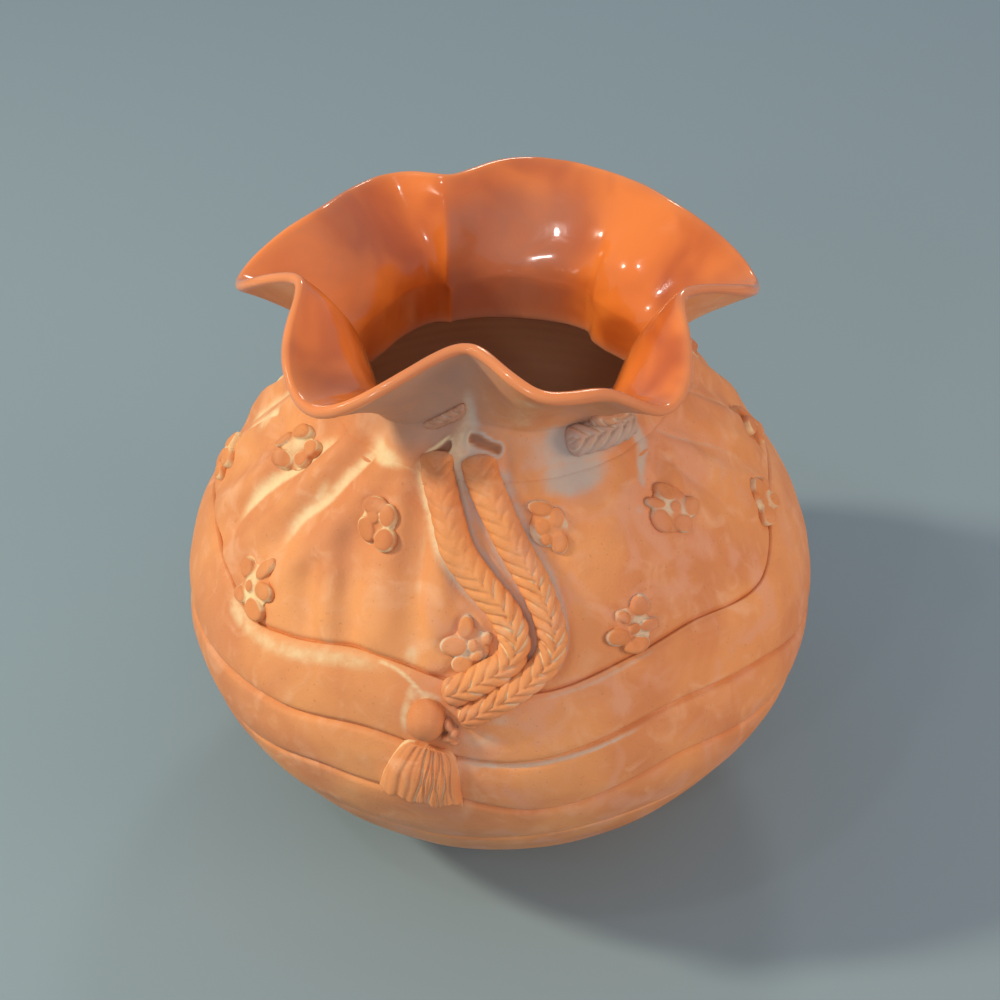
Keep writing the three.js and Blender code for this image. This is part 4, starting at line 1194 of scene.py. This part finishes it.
def mouth_section(turn, foot_lift):
    """Points of the mouth, and which rows are the outside, the lip and the inside."""
    corners = (
        (SPIGOT_RADIUS - SPIGOT_BEVEL, SPIGOT_FOOT), (SPIGOT_RADIUS, SPIGOT_FOOT + SPIGOT_BEVEL),
        (SPIGOT_RADIUS, SEAT_HEIGHT), (NECK_RADIUS + 2, SEAT_HEIGHT),
        (NECK_RADIUS + 1, SEAT_HEIGHT + SEAT_STEP),
    )
    base = np.stack([round_the_vase(turn[:, 0], *corner) for corner in corners], 1)
    foot = wall(turn, HOLLOW_FOOT_RISE, foot_lift - HOLLOW_SUNK)
    onward = unit(wall(turn, HOLLOW_FOOT_RISE + 1, foot_lift) - wall(turn, HOLLOW_FOOT_RISE, foot_lift))
    corner = wall(turn, HOLLOW_FOOT_RISE, foot_lift + HOLLOW_PROUD) + onward * HOLLOW_REACH
    top = ruffle_wall(turn, np.full((1, 1), HOLLOW_TOP_SHARE), 1)
    share = np.linspace(0, 1, HOLLOW_ROWS)[None, :, None]
    hollow = (1 - share) ** 2 * foot + 2 * share * (1 - share) * corner + share**2 * top
    outer = ruffle_wall(turn, np.linspace(HOLLOW_TOP_SHARE, 1, OUTER_ROWS + 1)[None, 1:], 1)
    middle, outward, upward = ruffle_frame(turn, np.ones((1, 1)))
    angle = np.linspace(0, math.pi, LIP_ROWS + 2)[None, 1:-1, None]
    lip = middle + LIP_WALL / 2 * (outward * np.cos(angle) + 0.9 * upward * np.sin(angle))
    inner = ruffle_wall(turn, np.linspace(1, 0, INNER_ROWS)[None, :], -1)
    bore = THROAT_RADIUS + THROAT_FOLD * fold_swing(turn) - inner_folds(turn, np.zeros((1, 1)))
    heights = np.array([THROAT_HEIGHTS])
    throat = round_the_vase(turn, bore + 0 * heights, heights)
    chin = round_the_vase(turn, bore + SPIGOT_BEVEL, np.full((1, 1), SPIGOT_FOOT))
    points = np.concatenate([base, hollow, outer, lip, inner, throat, chin], 1)
    place = np.concatenate([
        np.full(base.shape[1], -1.0), np.linspace(0, HOLLOW_TOP_SHARE, HOLLOW_ROWS),
        np.linspace(HOLLOW_TOP_SHARE, 1, OUTER_ROWS), np.linspace(1, 1.1, LIP_ROWS),
        np.linspace(1.1, 2, INNER_ROWS), np.full(throat.shape[1] + 1, 2.1),
    ])[None, :]
    return points, place


def grid_normals(points):
    around = np.roll(points, -1, 0) - np.roll(points, 1, 0)
    onward = np.roll(points, -1, 1) - np.roll(points, 1, 1)
    return unit(np.cross(around, onward))


# %% The ruffled mouth
SLIT_HALF_WIDTH, SLIT_DEPTH = 0.85, 1.1
SLIT_RIM, SLIT_RIM_HEIGHT = 1.5, 0.32

ruffle_turns = np.linspace(-180, 180, RUFFLE_TURNS, endpoint=False)[:, None]
foot_lift, foot_wash = cloth_relief(ruffle_turns, HOLLOW_FOOT_RISE + 0 * ruffle_turns)
mouth, place = mouth_section(ruffle_turns, foot_lift)
mouth_turns = ruffle_turns + 0 * place
outside = (place >= 0) * (place < 1)
near_slit = from_slits(mouth_turns, mouth[..., 2]) + 0.6 * hand_marks(mouth, 3.2)
near_slit = np.maximum(near_slit, 99 * ((place < 0) + (place > 0.4)))
slits = np.exp(-((near_slit / SLIT_HALF_WIDTH) ** 4))
slit_rim = bell(near_slit - SLIT_RIM, 0.55)
foot_wash = foot_wash * (1 - soft_step(mouth[..., 2], 144.5, 149))
marks = 0.40 * hand_marks(mouth, 17) + 0.10 * hand_marks(mouth, 6)
marks = marks * soft_step(place, 0, 0.12) * (place < 2)
marks = marks - SLIT_DEPTH * slits + SLIT_RIM_HEIGHT * slit_rim
mouth = mouth + grid_normals(mouth) * marks[..., None]
mouth_place = place + 0 * mouth_turns
inner_share = np.clip((2 - mouth_place) / 0.9, 0, 1)
mouth_height = mouth[..., 2]
outer_wash = np.maximum(neck_wash(mouth_turns, mouth_height), foot_wash) * (1 - slits)
is_inside = mouth_place > 1.1
ruffled_mouth = ring_of_clay("ruffled_mouth", mouth, {
    "wash": np.maximum(outer_wash, 0.8 * slit_rim) * outside,
    # painted shade tint, taken off the painted lit flank
    "cool": cool_share(mouth_turns) * (1 - 2 * lit_flank(mouth_turns, mouth_height)),
    # greyer clay and painted shade under the front of the mouth
    "dull": dull_clay(mouth_turns, mouth_height),
    # painted shade in the slits
    "slit": 0.8 * slits,
    "glaze": soft_step(mouth_place, 0.985, 1.01),
    # painted reflection and shade inside
    "veil": veil(mouth_turns, inner_share) * is_inside,
    # painted shade in the deep fold, and a darker stripe
    "thick": thick_glaze(mouth_turns, inner_share) * is_inside,
    "thin": 0.75 * bell(mouth_place - 1.04, 0.06),
    # the throat is painted lighter as painted light
    "pool": 0.75 * (1 - soft_step(mouth_height, 135, 140)) * (place > 1.5),
})
settle(ruffled_mouth, "mouth_ruffle", orange_glaze)

# %% [markdown]
# The relief is modelled flat on the bench, in millimetres, with x to the side, y up or ahead and z
# out of the wall. Lumps of clay are fused into one skin by a remesh, as wet clay is smoothed with a
# finger, and the flat piece is then laid on the curved wall. Its underside goes a little way into
# the cloth, as pressed clay does.

# %% Lumps on the bench
def lump(place, radii, spin=0.0):
    """A lump of clay on the bench."""
    bpy.ops.mesh.primitive_uv_sphere_add(
        segments=24, ring_count=14, radius=1, location=place, rotation=(0, 0, spin), scale=radii,
    )
    return bpy.context.object


def fuse(name, lumps, grain, rounds):
    """Fuses lumps into one closed skin and smooths it."""
    bpy.ops.object.select_all(action="DESELECT")
    for part in lumps:
        part.select_set(True)
    bpy.context.view_layer.objects.active = lumps[0]
    bpy.ops.object.join()
    bpy.ops.object.transform_apply(location=True, rotation=True, scale=True)
    piece = bpy.context.object
    piece.name = name
    skin = piece.modifiers.new("skin", "REMESH")
    skin.mode = "VOXEL"
    skin.voxel_size = grain
    bpy.ops.object.modifier_apply(modifier=skin.name)
    finger = piece.modifiers.new("finger", "SMOOTH")
    finger.factor = 0.5
    finger.iterations = rounds
    bpy.ops.object.modifier_apply(modifier=finger.name)
    return piece


# %% From the bench to the wall
SUNK = -2.4


def on_seat(turn, rise, height):
    """Points over the level on which the relief lies."""
    return wall(turn, rise, seat_lift(turn, rise) + np.maximum(height, SUNK))


def press_on_wall(points, turn, rise):
    """Lays bench points on the wall round one place."""
    side, up, height = points.T
    new_rise = rise_at_run(run_at(rise) + up)
    new_turn = turn + np.degrees(side / radius_at((rise + new_rise) / 2))
    return on_seat(new_turn, new_rise, height)


def lay_along(points, route):
    """Lays bench points along a line on the wall, with y as the distance along it."""
    turn, rise = through(route, 300).T
    side = np.radians(np.gradient(turn)) * radius_at(rise)
    up = np.gradient(run_at(rise))
    pace = np.hypot(side, up)
    covered = np.concatenate([[0], np.cumsum((pace[1:] + pace[:-1]) / 2)])
    across, ahead, height = points.T
    ahead_side, ahead_up = (np.interp(ahead, covered, part / pace) for part in (side, up))
    here_turn, here_rise = (np.interp(ahead, covered, part) for part in (turn, rise))
    overshoot = ahead - np.clip(ahead, 0, covered[-1])
    step_side = across * ahead_up + overshoot * ahead_side
    step_up = -across * ahead_side + overshoot * ahead_up
    new_rise = rise_at_run(run_at(here_rise) + step_up)
    return on_seat(here_turn + np.degrees(step_side / radius_at(here_rise)), new_rise, height)


def length_of(route):
    turn, rise = through(route, 300).T
    return np.hypot(np.radians(np.diff(turn)) * radius_at(rise[1:]), np.diff(run_at(rise))).sum()


# %% [markdown]
# A plum blossom is a ring of small round pads of clay pressed on one by one, so that no two blossoms
# are alike. Stamping one flower fifteen times would be quicker and would look it. Some are crisp and
# some are worn low, the clay is deeper than that of the cloth, and the wash stays only in parts of
# the gaps.

# %% Plum blossoms
PAD_SPREAD = 1.14
PAD_SUNK = 0.3
BASE_HEIGHT = 0.65
PETAL_GRAIN, PETAL_SMOOTHING = 0.24, 2


def blossom(index, turn, rise, height, pads):
    middle_x, middle_y = (sum(pad[axis] for pad in pads) / len(pads) for axis in (0, 1))
    reach = max(math.hypot(pad[0] - middle_x, pad[1] - middle_y) for pad in pads)
    parts = [lump((middle_x, middle_y, -PAD_SUNK), (reach, reach, BASE_HEIGHT + PAD_SUNK))]
    for x, y, long_radius, short_radius, lean in pads:
        radii = (long_radius * PAD_SPREAD, short_radius * PAD_SPREAD, 2 * min(height, short_radius))
        parts.append(lump((x, y, -PAD_SUNK), radii, math.radians(lean)))
    piece = fuse(f"plum_blossom_{index:02d}", parts, PETAL_GRAIN, PETAL_SMOOTHING)
    points = points_of(piece)
    points[:, 2] = np.where(points[:, 2] > 0, height * np.tanh(points[:, 2] / height), points[:, 2])
    points[:, 2] += 0.15 * hand_marks(points, 2.5) * (points[:, 2] > 0)
    low = soft_step(0.85 * height - points[:, 2], 0, 0.4)
    broken = 0.25 + 0.75 * soft_step(hand_marks(points + index * 30, 5), -0.25, 0.3)
    paint(piece, wash=0.8 * low * broken, cool=0.6 * cool_share(turn))
    move_points(piece, press_on_wall(points, turn, rise))
    settle(piece, f"blossom_{index:02d}", clay_petals)


for index in sorted(BLOSSOMS):
    blossom(index, *BLOSSOMS[index])

# %% [markdown]
# The cord is a roll of clay whose plait is cut in with a knife: slanting cuts from both sides meet in
# a row of points aimed at the tassel. A lump for each strand could be fused instead, but then the
# strands look like beads, and cuts in a smooth roll look like the real ones. So a grid is bent into
# a roll on the bench, the cuts are pushed in, and the roll is laid along its line on the wall. The
# cuts of the first stretch of each strand are worn low.

# %% Straight plait
STRAND_PITCH = 3.85
STRAND_SLANT = math.radians(46)
PLAIT_HALF_WIDTH, PLAIT_HEIGHT, PLAIT_BASE = 4.45, 3.8, 0.6
PLAIT_END = 2.6
CUT_DEPTH, CUT_WIDTH = 0.62, 0.42
WEAR = 0.66
PAD_CROWN, MIDDLE_VALLEY = 0.34, 0.25
PLAIT_COLUMNS = 80
ROW_STEP = 0.36


def plait(name, length, size=1.0, worn_until=0.0):
    """A straight plait on the bench, along y, with the painted value "cut" in its cuts."""
    piece = sheet_of_clay(name, PLAIT_COLUMNS, int(length / (ROW_STEP * size)))
    sheet_x, sheet_y, _ = points_of(piece).T
    angle = (sheet_x + 1) * math.pi
    ahead = (sheet_y + 1) / 2 * length
    pitch = STRAND_PITCH * size
    x = PLAIT_HALF_WIDTH * size * np.cos(angle)
    z = PLAIT_HEIGHT * size * np.sin(angle)
    uneven = hand_marks(np.stack([x, ahead, z], 1), 7 * size)
    lines = (ahead + np.abs(x) * math.tan(STRAND_SLANT)) / pitch - np.sign(x) / 4 + 0.16 * uneven
    from_cut = np.abs(lines - np.round(lines)) * pitch * math.cos(STRAND_SLANT)
    worn = 1 - soft_step(ahead, worn_until - 8, worn_until + 10) if worn_until else 0
    crisp = soft_step(np.sin(angle), 0, 0.25) * (1 - WEAR * worn) * np.clip(0.85 + 0.6 * uneven, 0.3, 1)
    cut = bell(from_cut, CUT_WIDTH * size) * crisp
    crown = PAD_CROWN * np.sqrt(np.abs(np.sin(math.pi * lines))) - MIDDLE_VALLEY * bell(x, 0.6 * size)
    out = size * (crown * crisp - CUT_DEPTH * cut)
    way_out = unit(np.stack([np.cos(angle) * PLAIT_HEIGHT, np.sin(angle) * PLAIT_HALF_WIDTH], 1))
    from_end = np.minimum(ahead, length - ahead)
    closing = np.sqrt(1 - np.clip(1 - from_end / (PLAIT_END * size), 0, 1) ** 2)
    x = (x + out * way_out[:, 0]) * closing
    z = (z + out * way_out[:, 1]) * closing + PLAIT_BASE * size
    move_points(piece, np.stack([x, ahead, z], 1), 1)
    paint(piece, cut=cut)
    close_seams(0.01, turn_out=True)
    return piece


# %% The two cords on the shoulder
def cord_strand(name, node, route, end_share, worn_until):
    length = length_of(route)
    piece = plait(name, length, 1.0, worn_until)
    points = points_of(piece)
    cut = take_paint(piece, "cut")
    share = np.clip(points[:, 1] / length, 0, 1)
    uneven = hand_marks(points, 9)
    points[:, 0] *= (1 - (1 - end_share) * share) * (1 + 0.05 * uneven)
    coming_out = 0.45 + 0.55 * soft_step(points[:, 1], 0, 8)
    points[:, 2] *= np.where(points[:, 2] > 0, (1 - 0.15 * share + 0.05 * uneven) * coming_out, 1)
    points[:, 2] += 0.20 * hand_marks(points, 2.2) * soft_step(points[:, 2], 0.5, 1.5)
    foot = 1 - soft_step(points[:, 2], 0.1, 1.2)
    top = 0.45 * (1 - soft_step(points[:, 1], 0, 5))
    left_in_cuts = 0.25 + 0.75 * soft_step(hand_marks(points, 4), -0.2, 0.25)
    wash = np.maximum(np.maximum(0.9 * cut * left_in_cuts, 0.35 * foot), top)
    # The side of the cord away from the lamp, and its top under the mouth, get more painted shade tint.
    paint(piece, wash=wash, cool=0.15 + 0.25 * (points[:, 0] < 0) + top)
    move_points(piece, lay_along(points, route))
    settle(piece, node, clay_relief)


cord_strand("cord_left", "cord_strand_left", LEFT_STRAND, 0.85, 36)
cord_strand("cord_right", "cord_strand_right", RIGHT_STRAND, 0.75, 27)

# %% [markdown]
# The cord goes on round the neck and shows between the folds of the mouth. These short stretches lie
# in the hollow under the ruffle, so they are bent round the neck on a path of their own. Two more
# lie against the outside of the ruffle.

# %% Cords at the neck
# Each stretch: turns from and to, size, wash
NECK_CORD_STRETCHES = (
    (-69, -41, 0.90, 0.55), (-14, 12, 0.74, 0.22), (48, 74, 0.74, 0.22), (112, 136, 0.74, 0.22),
    (166, 190, 0.74, 0.22),
)
NECK_CORD_RADIUS = 2.5
NECK_CORD_PROUD = 2.0
NECK_CORD_LEAN = math.radians(42)


def neck_cord(index, from_turn, to_turn, size, wash):
    middle_turn = (from_turn + to_turn) / 2
    towards_lobe = (fold_swing(middle_turn) + 1) / 2
    radius = THROAT_RADIUS + RUFFLE_WALL + THROAT_FOLD * fold_swing(middle_turn) + NECK_CORD_RADIUS + 1.3
    length = math.radians(to_turn - from_turn) * radius * 0.93
    piece = plait(f"neck_plait_{index}", length, size)
    points = points_of(piece)
    cut = take_paint(piece, "cut")
    share = points[:, 1] / length
    turn = from_turn + (to_turn - from_turn) * (0.035 + 0.93 * share)
    wall_radius = THROAT_RADIUS + RUFFLE_WALL + THROAT_FOLD * fold_swing(turn) + towards_lobe
    out = points[:, 2] + NECK_CORD_PROUD
    down = points[:, 0]
    cord_radius = wall_radius + 1.4 + out * math.cos(NECK_CORD_LEAN) + down * math.sin(NECK_CORD_LEAN)
    height = NECK_HEIGHT - 0.6 + out * math.sin(NECK_CORD_LEAN) - down * math.cos(NECK_CORD_LEAN)
    cool = cool_share(turn) + 0.45 * wash - 0.5 * cut
    # The cords in the hollow under the mouth get greyer clay with painted shade where they are washed.
    paint(piece, wash=np.maximum(wash, cut), cool=cool, dull=1.4 * wash)
    move_points(piece, round_the_vase(turn, cord_radius, height))
    settle(piece, f"neck_cord_{index}", orange_glaze)


for index, stretch in enumerate(NECK_CORD_STRETCHES, 1):
    neck_cord(index, *stretch)


# %% Cords on the ruffle
# Each: turns and shares of the wall from and to, size, wash, height
CLIMB = ((-120, -102), (0.1, 0.34), 0.62, 0.25, 0.42)
CROSSING = ((-60, -33.5), (0.36, 0.36), 0.80, 0.42, 0.62)


def ruffle_cord(name, node, turns, shares, size, wash, proud):
    middle = ruffle_frame(np.linspace(*turns, 60), np.linspace(*shares, 60))[0]
    length = np.linalg.norm(np.diff(middle, axis=0), axis=1).sum() * 0.9
    piece = plait(name, length, size)
    points = points_of(piece)
    cut = take_paint(piece, "cut")
    uneven = hand_marks(points, 3)
    points[:, 2] *= 1 + 0.25 * uneven
    shade = 0.3 * soft_step(uneven, -0.1, 0.3) * (wash < 0.3)
    # Patches of painted shade, and greyer clay with painted shade, on the cords that lie on the mouth.
    paint(piece, wash=np.maximum(wash * 0.6, wash * 2.2 * cut), cool=0.7, dull=0.65, slit=shade)
    along_share = 0.05 + 0.9 * points[:, 1] / length
    turn = turns[0] + (turns[1] - turns[0]) * along_share
    across = points[:, 0] / ruffle_length(turn)
    share = shares[0] + (shares[1] - shares[0]) * along_share - across
    base, outward, _ = ruffle_frame(turn, share)
    raised = RUFFLE_WALL / 2 + np.maximum(points[:, 2] * proud, -1.2)
    move_points(piece, base + outward * raised[:, None])
    settle(piece, node, orange_glaze)


ruffle_cord("cord_climbing", "neck_cord_climb", *CLIMB)
ruffle_cord("cord_crossing", "neck_cord_crossing", *CROSSING)

# %% [markdown]
# The tassel has a smooth round ball, a small binding of twisted cord beneath it, and a skirt of
# threads that fans out and ends bluntly. The skirt is a grid pulled up into a dome and cut by
# grooves, broad on its left side and fine on its right, and its rim is extruded down and closed.

# %% Ball of the tassel
BALL_PLACE = (-102.5, 29.2)
BALL_RADII = (5.1, 5.7, 5.4)
BALL_LIFT = 0.6

ball = fuse("tassel_bead", [lump((0, 0, BALL_LIFT), BALL_RADII)], 0.3, 3)
ball_points = points_of(ball)
ball_points += unit(ball_points) * 0.22 * hand_marks(ball_points, 4)[:, None]
paint(ball, wash=0.8 * (1 - soft_step(ball_points[:, 2], 0.2, 1.7)), cool=0.2)
move_points(ball, press_on_wall(ball_points, *BALL_PLACE))
settle(ball, "tassel_ball", clay_relief)

# %% Binding under the ball
BINDING_PLACE = (-98.3, 26.2)
# Each turn of the binding: place, radii, spin
BINDING_TURNS = (
    ((-0.6, 2.2, 0.6), (1.2, 1.9, 2.6), 0.3), ((0.7, 0.2, 0.5), (1.3, 1.8, 2.7), -0.4),
    ((-0.8, -1.4, 0.5), (1.6, 1.1, 2.4), 0.4), ((0.9, -2.4, 0.3), (1.6, 1.1, 2.2), -0.2),
)

binding = fuse("tassel_binding", [lump(*row) for row in BINDING_TURNS], 0.24, 2)
binding_points = points_of(binding)
up = binding_points[:, 2]
# The foot of the binding is painted darker as shade.
paint(binding, wash=0.8 * (1 - soft_step(up, 0.4, 2.0)), cool=0.7, slit=0.4 * (1 - soft_step(up, 1.4, 2.4)))
move_points(binding, press_on_wall(binding_points, *BINDING_PLACE))
settle(binding, "tassel_knot", clay_relief)


# %% Surface of the skirt
SKIRT_TOP = 4.4
# Each groove: place across the skirt from -1 to 1, depth, half width
SKIRT_GROOVES = (
    (0.80, 0.20, 0.06), (0.50, 0.50, 0.08), (0.25, 0.25, 0.06), (0.02, 0.9, 0.04), (-0.14, 0.6, 0.03),
    (-0.29, 0.75, 0.035), (-0.45, 0.55, 0.03), (-0.60, 0.7, 0.035), (-0.77, 0.5, 0.03),
)


def skirt_surface(across, share):
    """Height of the skirt, from -1 to 1 across and from 0 to 1 down it, and the wash in its grooves."""
    dome = (1 - np.abs(across) ** 3.2) ** 0.55
    top = SKIRT_TOP * (0.50 + 0.50 * soft_step(share, 0, 0.5))
    cut = 0 * across * share
    for place_across, depth, width in SKIRT_GROOVES:
        wander = place_across + 0.030 * np.sin(9 * share + 20 * place_across)
        cut = np.maximum(cut, depth * bell(across - wander, width) * soft_step(share, -0.05, 0.10))
    cut = cut * (1 - 0.6 * soft_step(share, 0.86, 1))
    threads = 0.10 * np.cos(across * 70) * (across < 0.1) * soft_step(share, 0.05, 0.3)
    blunt = 1 - 0.62 * soft_step(share, 0.84, 1.0) ** 2
    return top * dome * blunt - cut + threads, soft_step(cut, 0.2, 0.6)


# %% The skirt
SKIRT_ROUTE = ((-101.8, 20.4), (-102.4, 12), (-103, 4), (-103.2, -1.5))
SKIRT_WIDTHS = (8.0, 22.5)
SKIRT_FLARE = 0.4
SKIRT_DEPTH = 4.5
SKIRT_GRID = (110, 70)

skirt = sheet_of_clay("tassel_threads", *SKIRT_GRID)
flat = points_of(skirt)
across, share = flat[:, 0], (flat[:, 1] + 1) / 2
skirt_height, groove_wash = skirt_surface(across, share)
half_width = (SKIRT_WIDTHS[0] + (SKIRT_WIDTHS[1] - SKIRT_WIDTHS[0]) * share**SKIRT_FLARE) / 2
ahead = share * length_of(SKIRT_ROUTE) * (1 + 0.03 * np.sin(across * 11) * share)
move_points(skirt, np.stack([across * half_width, ahead, skirt_height], 1), 1)
bpy.ops.object.mode_set(mode="EDIT")
bpy.ops.mesh.select_all(action="SELECT")
bpy.ops.mesh.region_to_loop()
bpy.ops.mesh.extrude_region_move(TRANSFORM_OT_translate={"value": (0, 0, -SKIRT_DEPTH)})
bpy.ops.mesh.edge_face_add()
bpy.ops.mesh.select_all(action="SELECT")
bpy.ops.mesh.normals_make_consistent(inside=False)
bpy.ops.object.mode_set(mode="OBJECT")
bench = points_of(skirt)
rim_wash = (0.45 + 0.4 * (bench[:, 0] > 0)) * (1 - soft_step(bench[:, 2], 0.3, 1.6))
groove_wash = np.concatenate([groove_wash, np.zeros(len(bench) - len(groove_wash))])
wash = np.maximum(0.6 * groove_wash * (bench[:, 0] < 1), rim_wash)
# The side of the skirt away from the lamp gets more painted shade tint.
paint(skirt, wash=wash, cool=0.1 + 0.25 * (bench[:, 0] < 0))
move_points(skirt, lay_along(bench, SKIRT_ROUTE))
settle(skirt, "tassel_skirt", clay_relief)
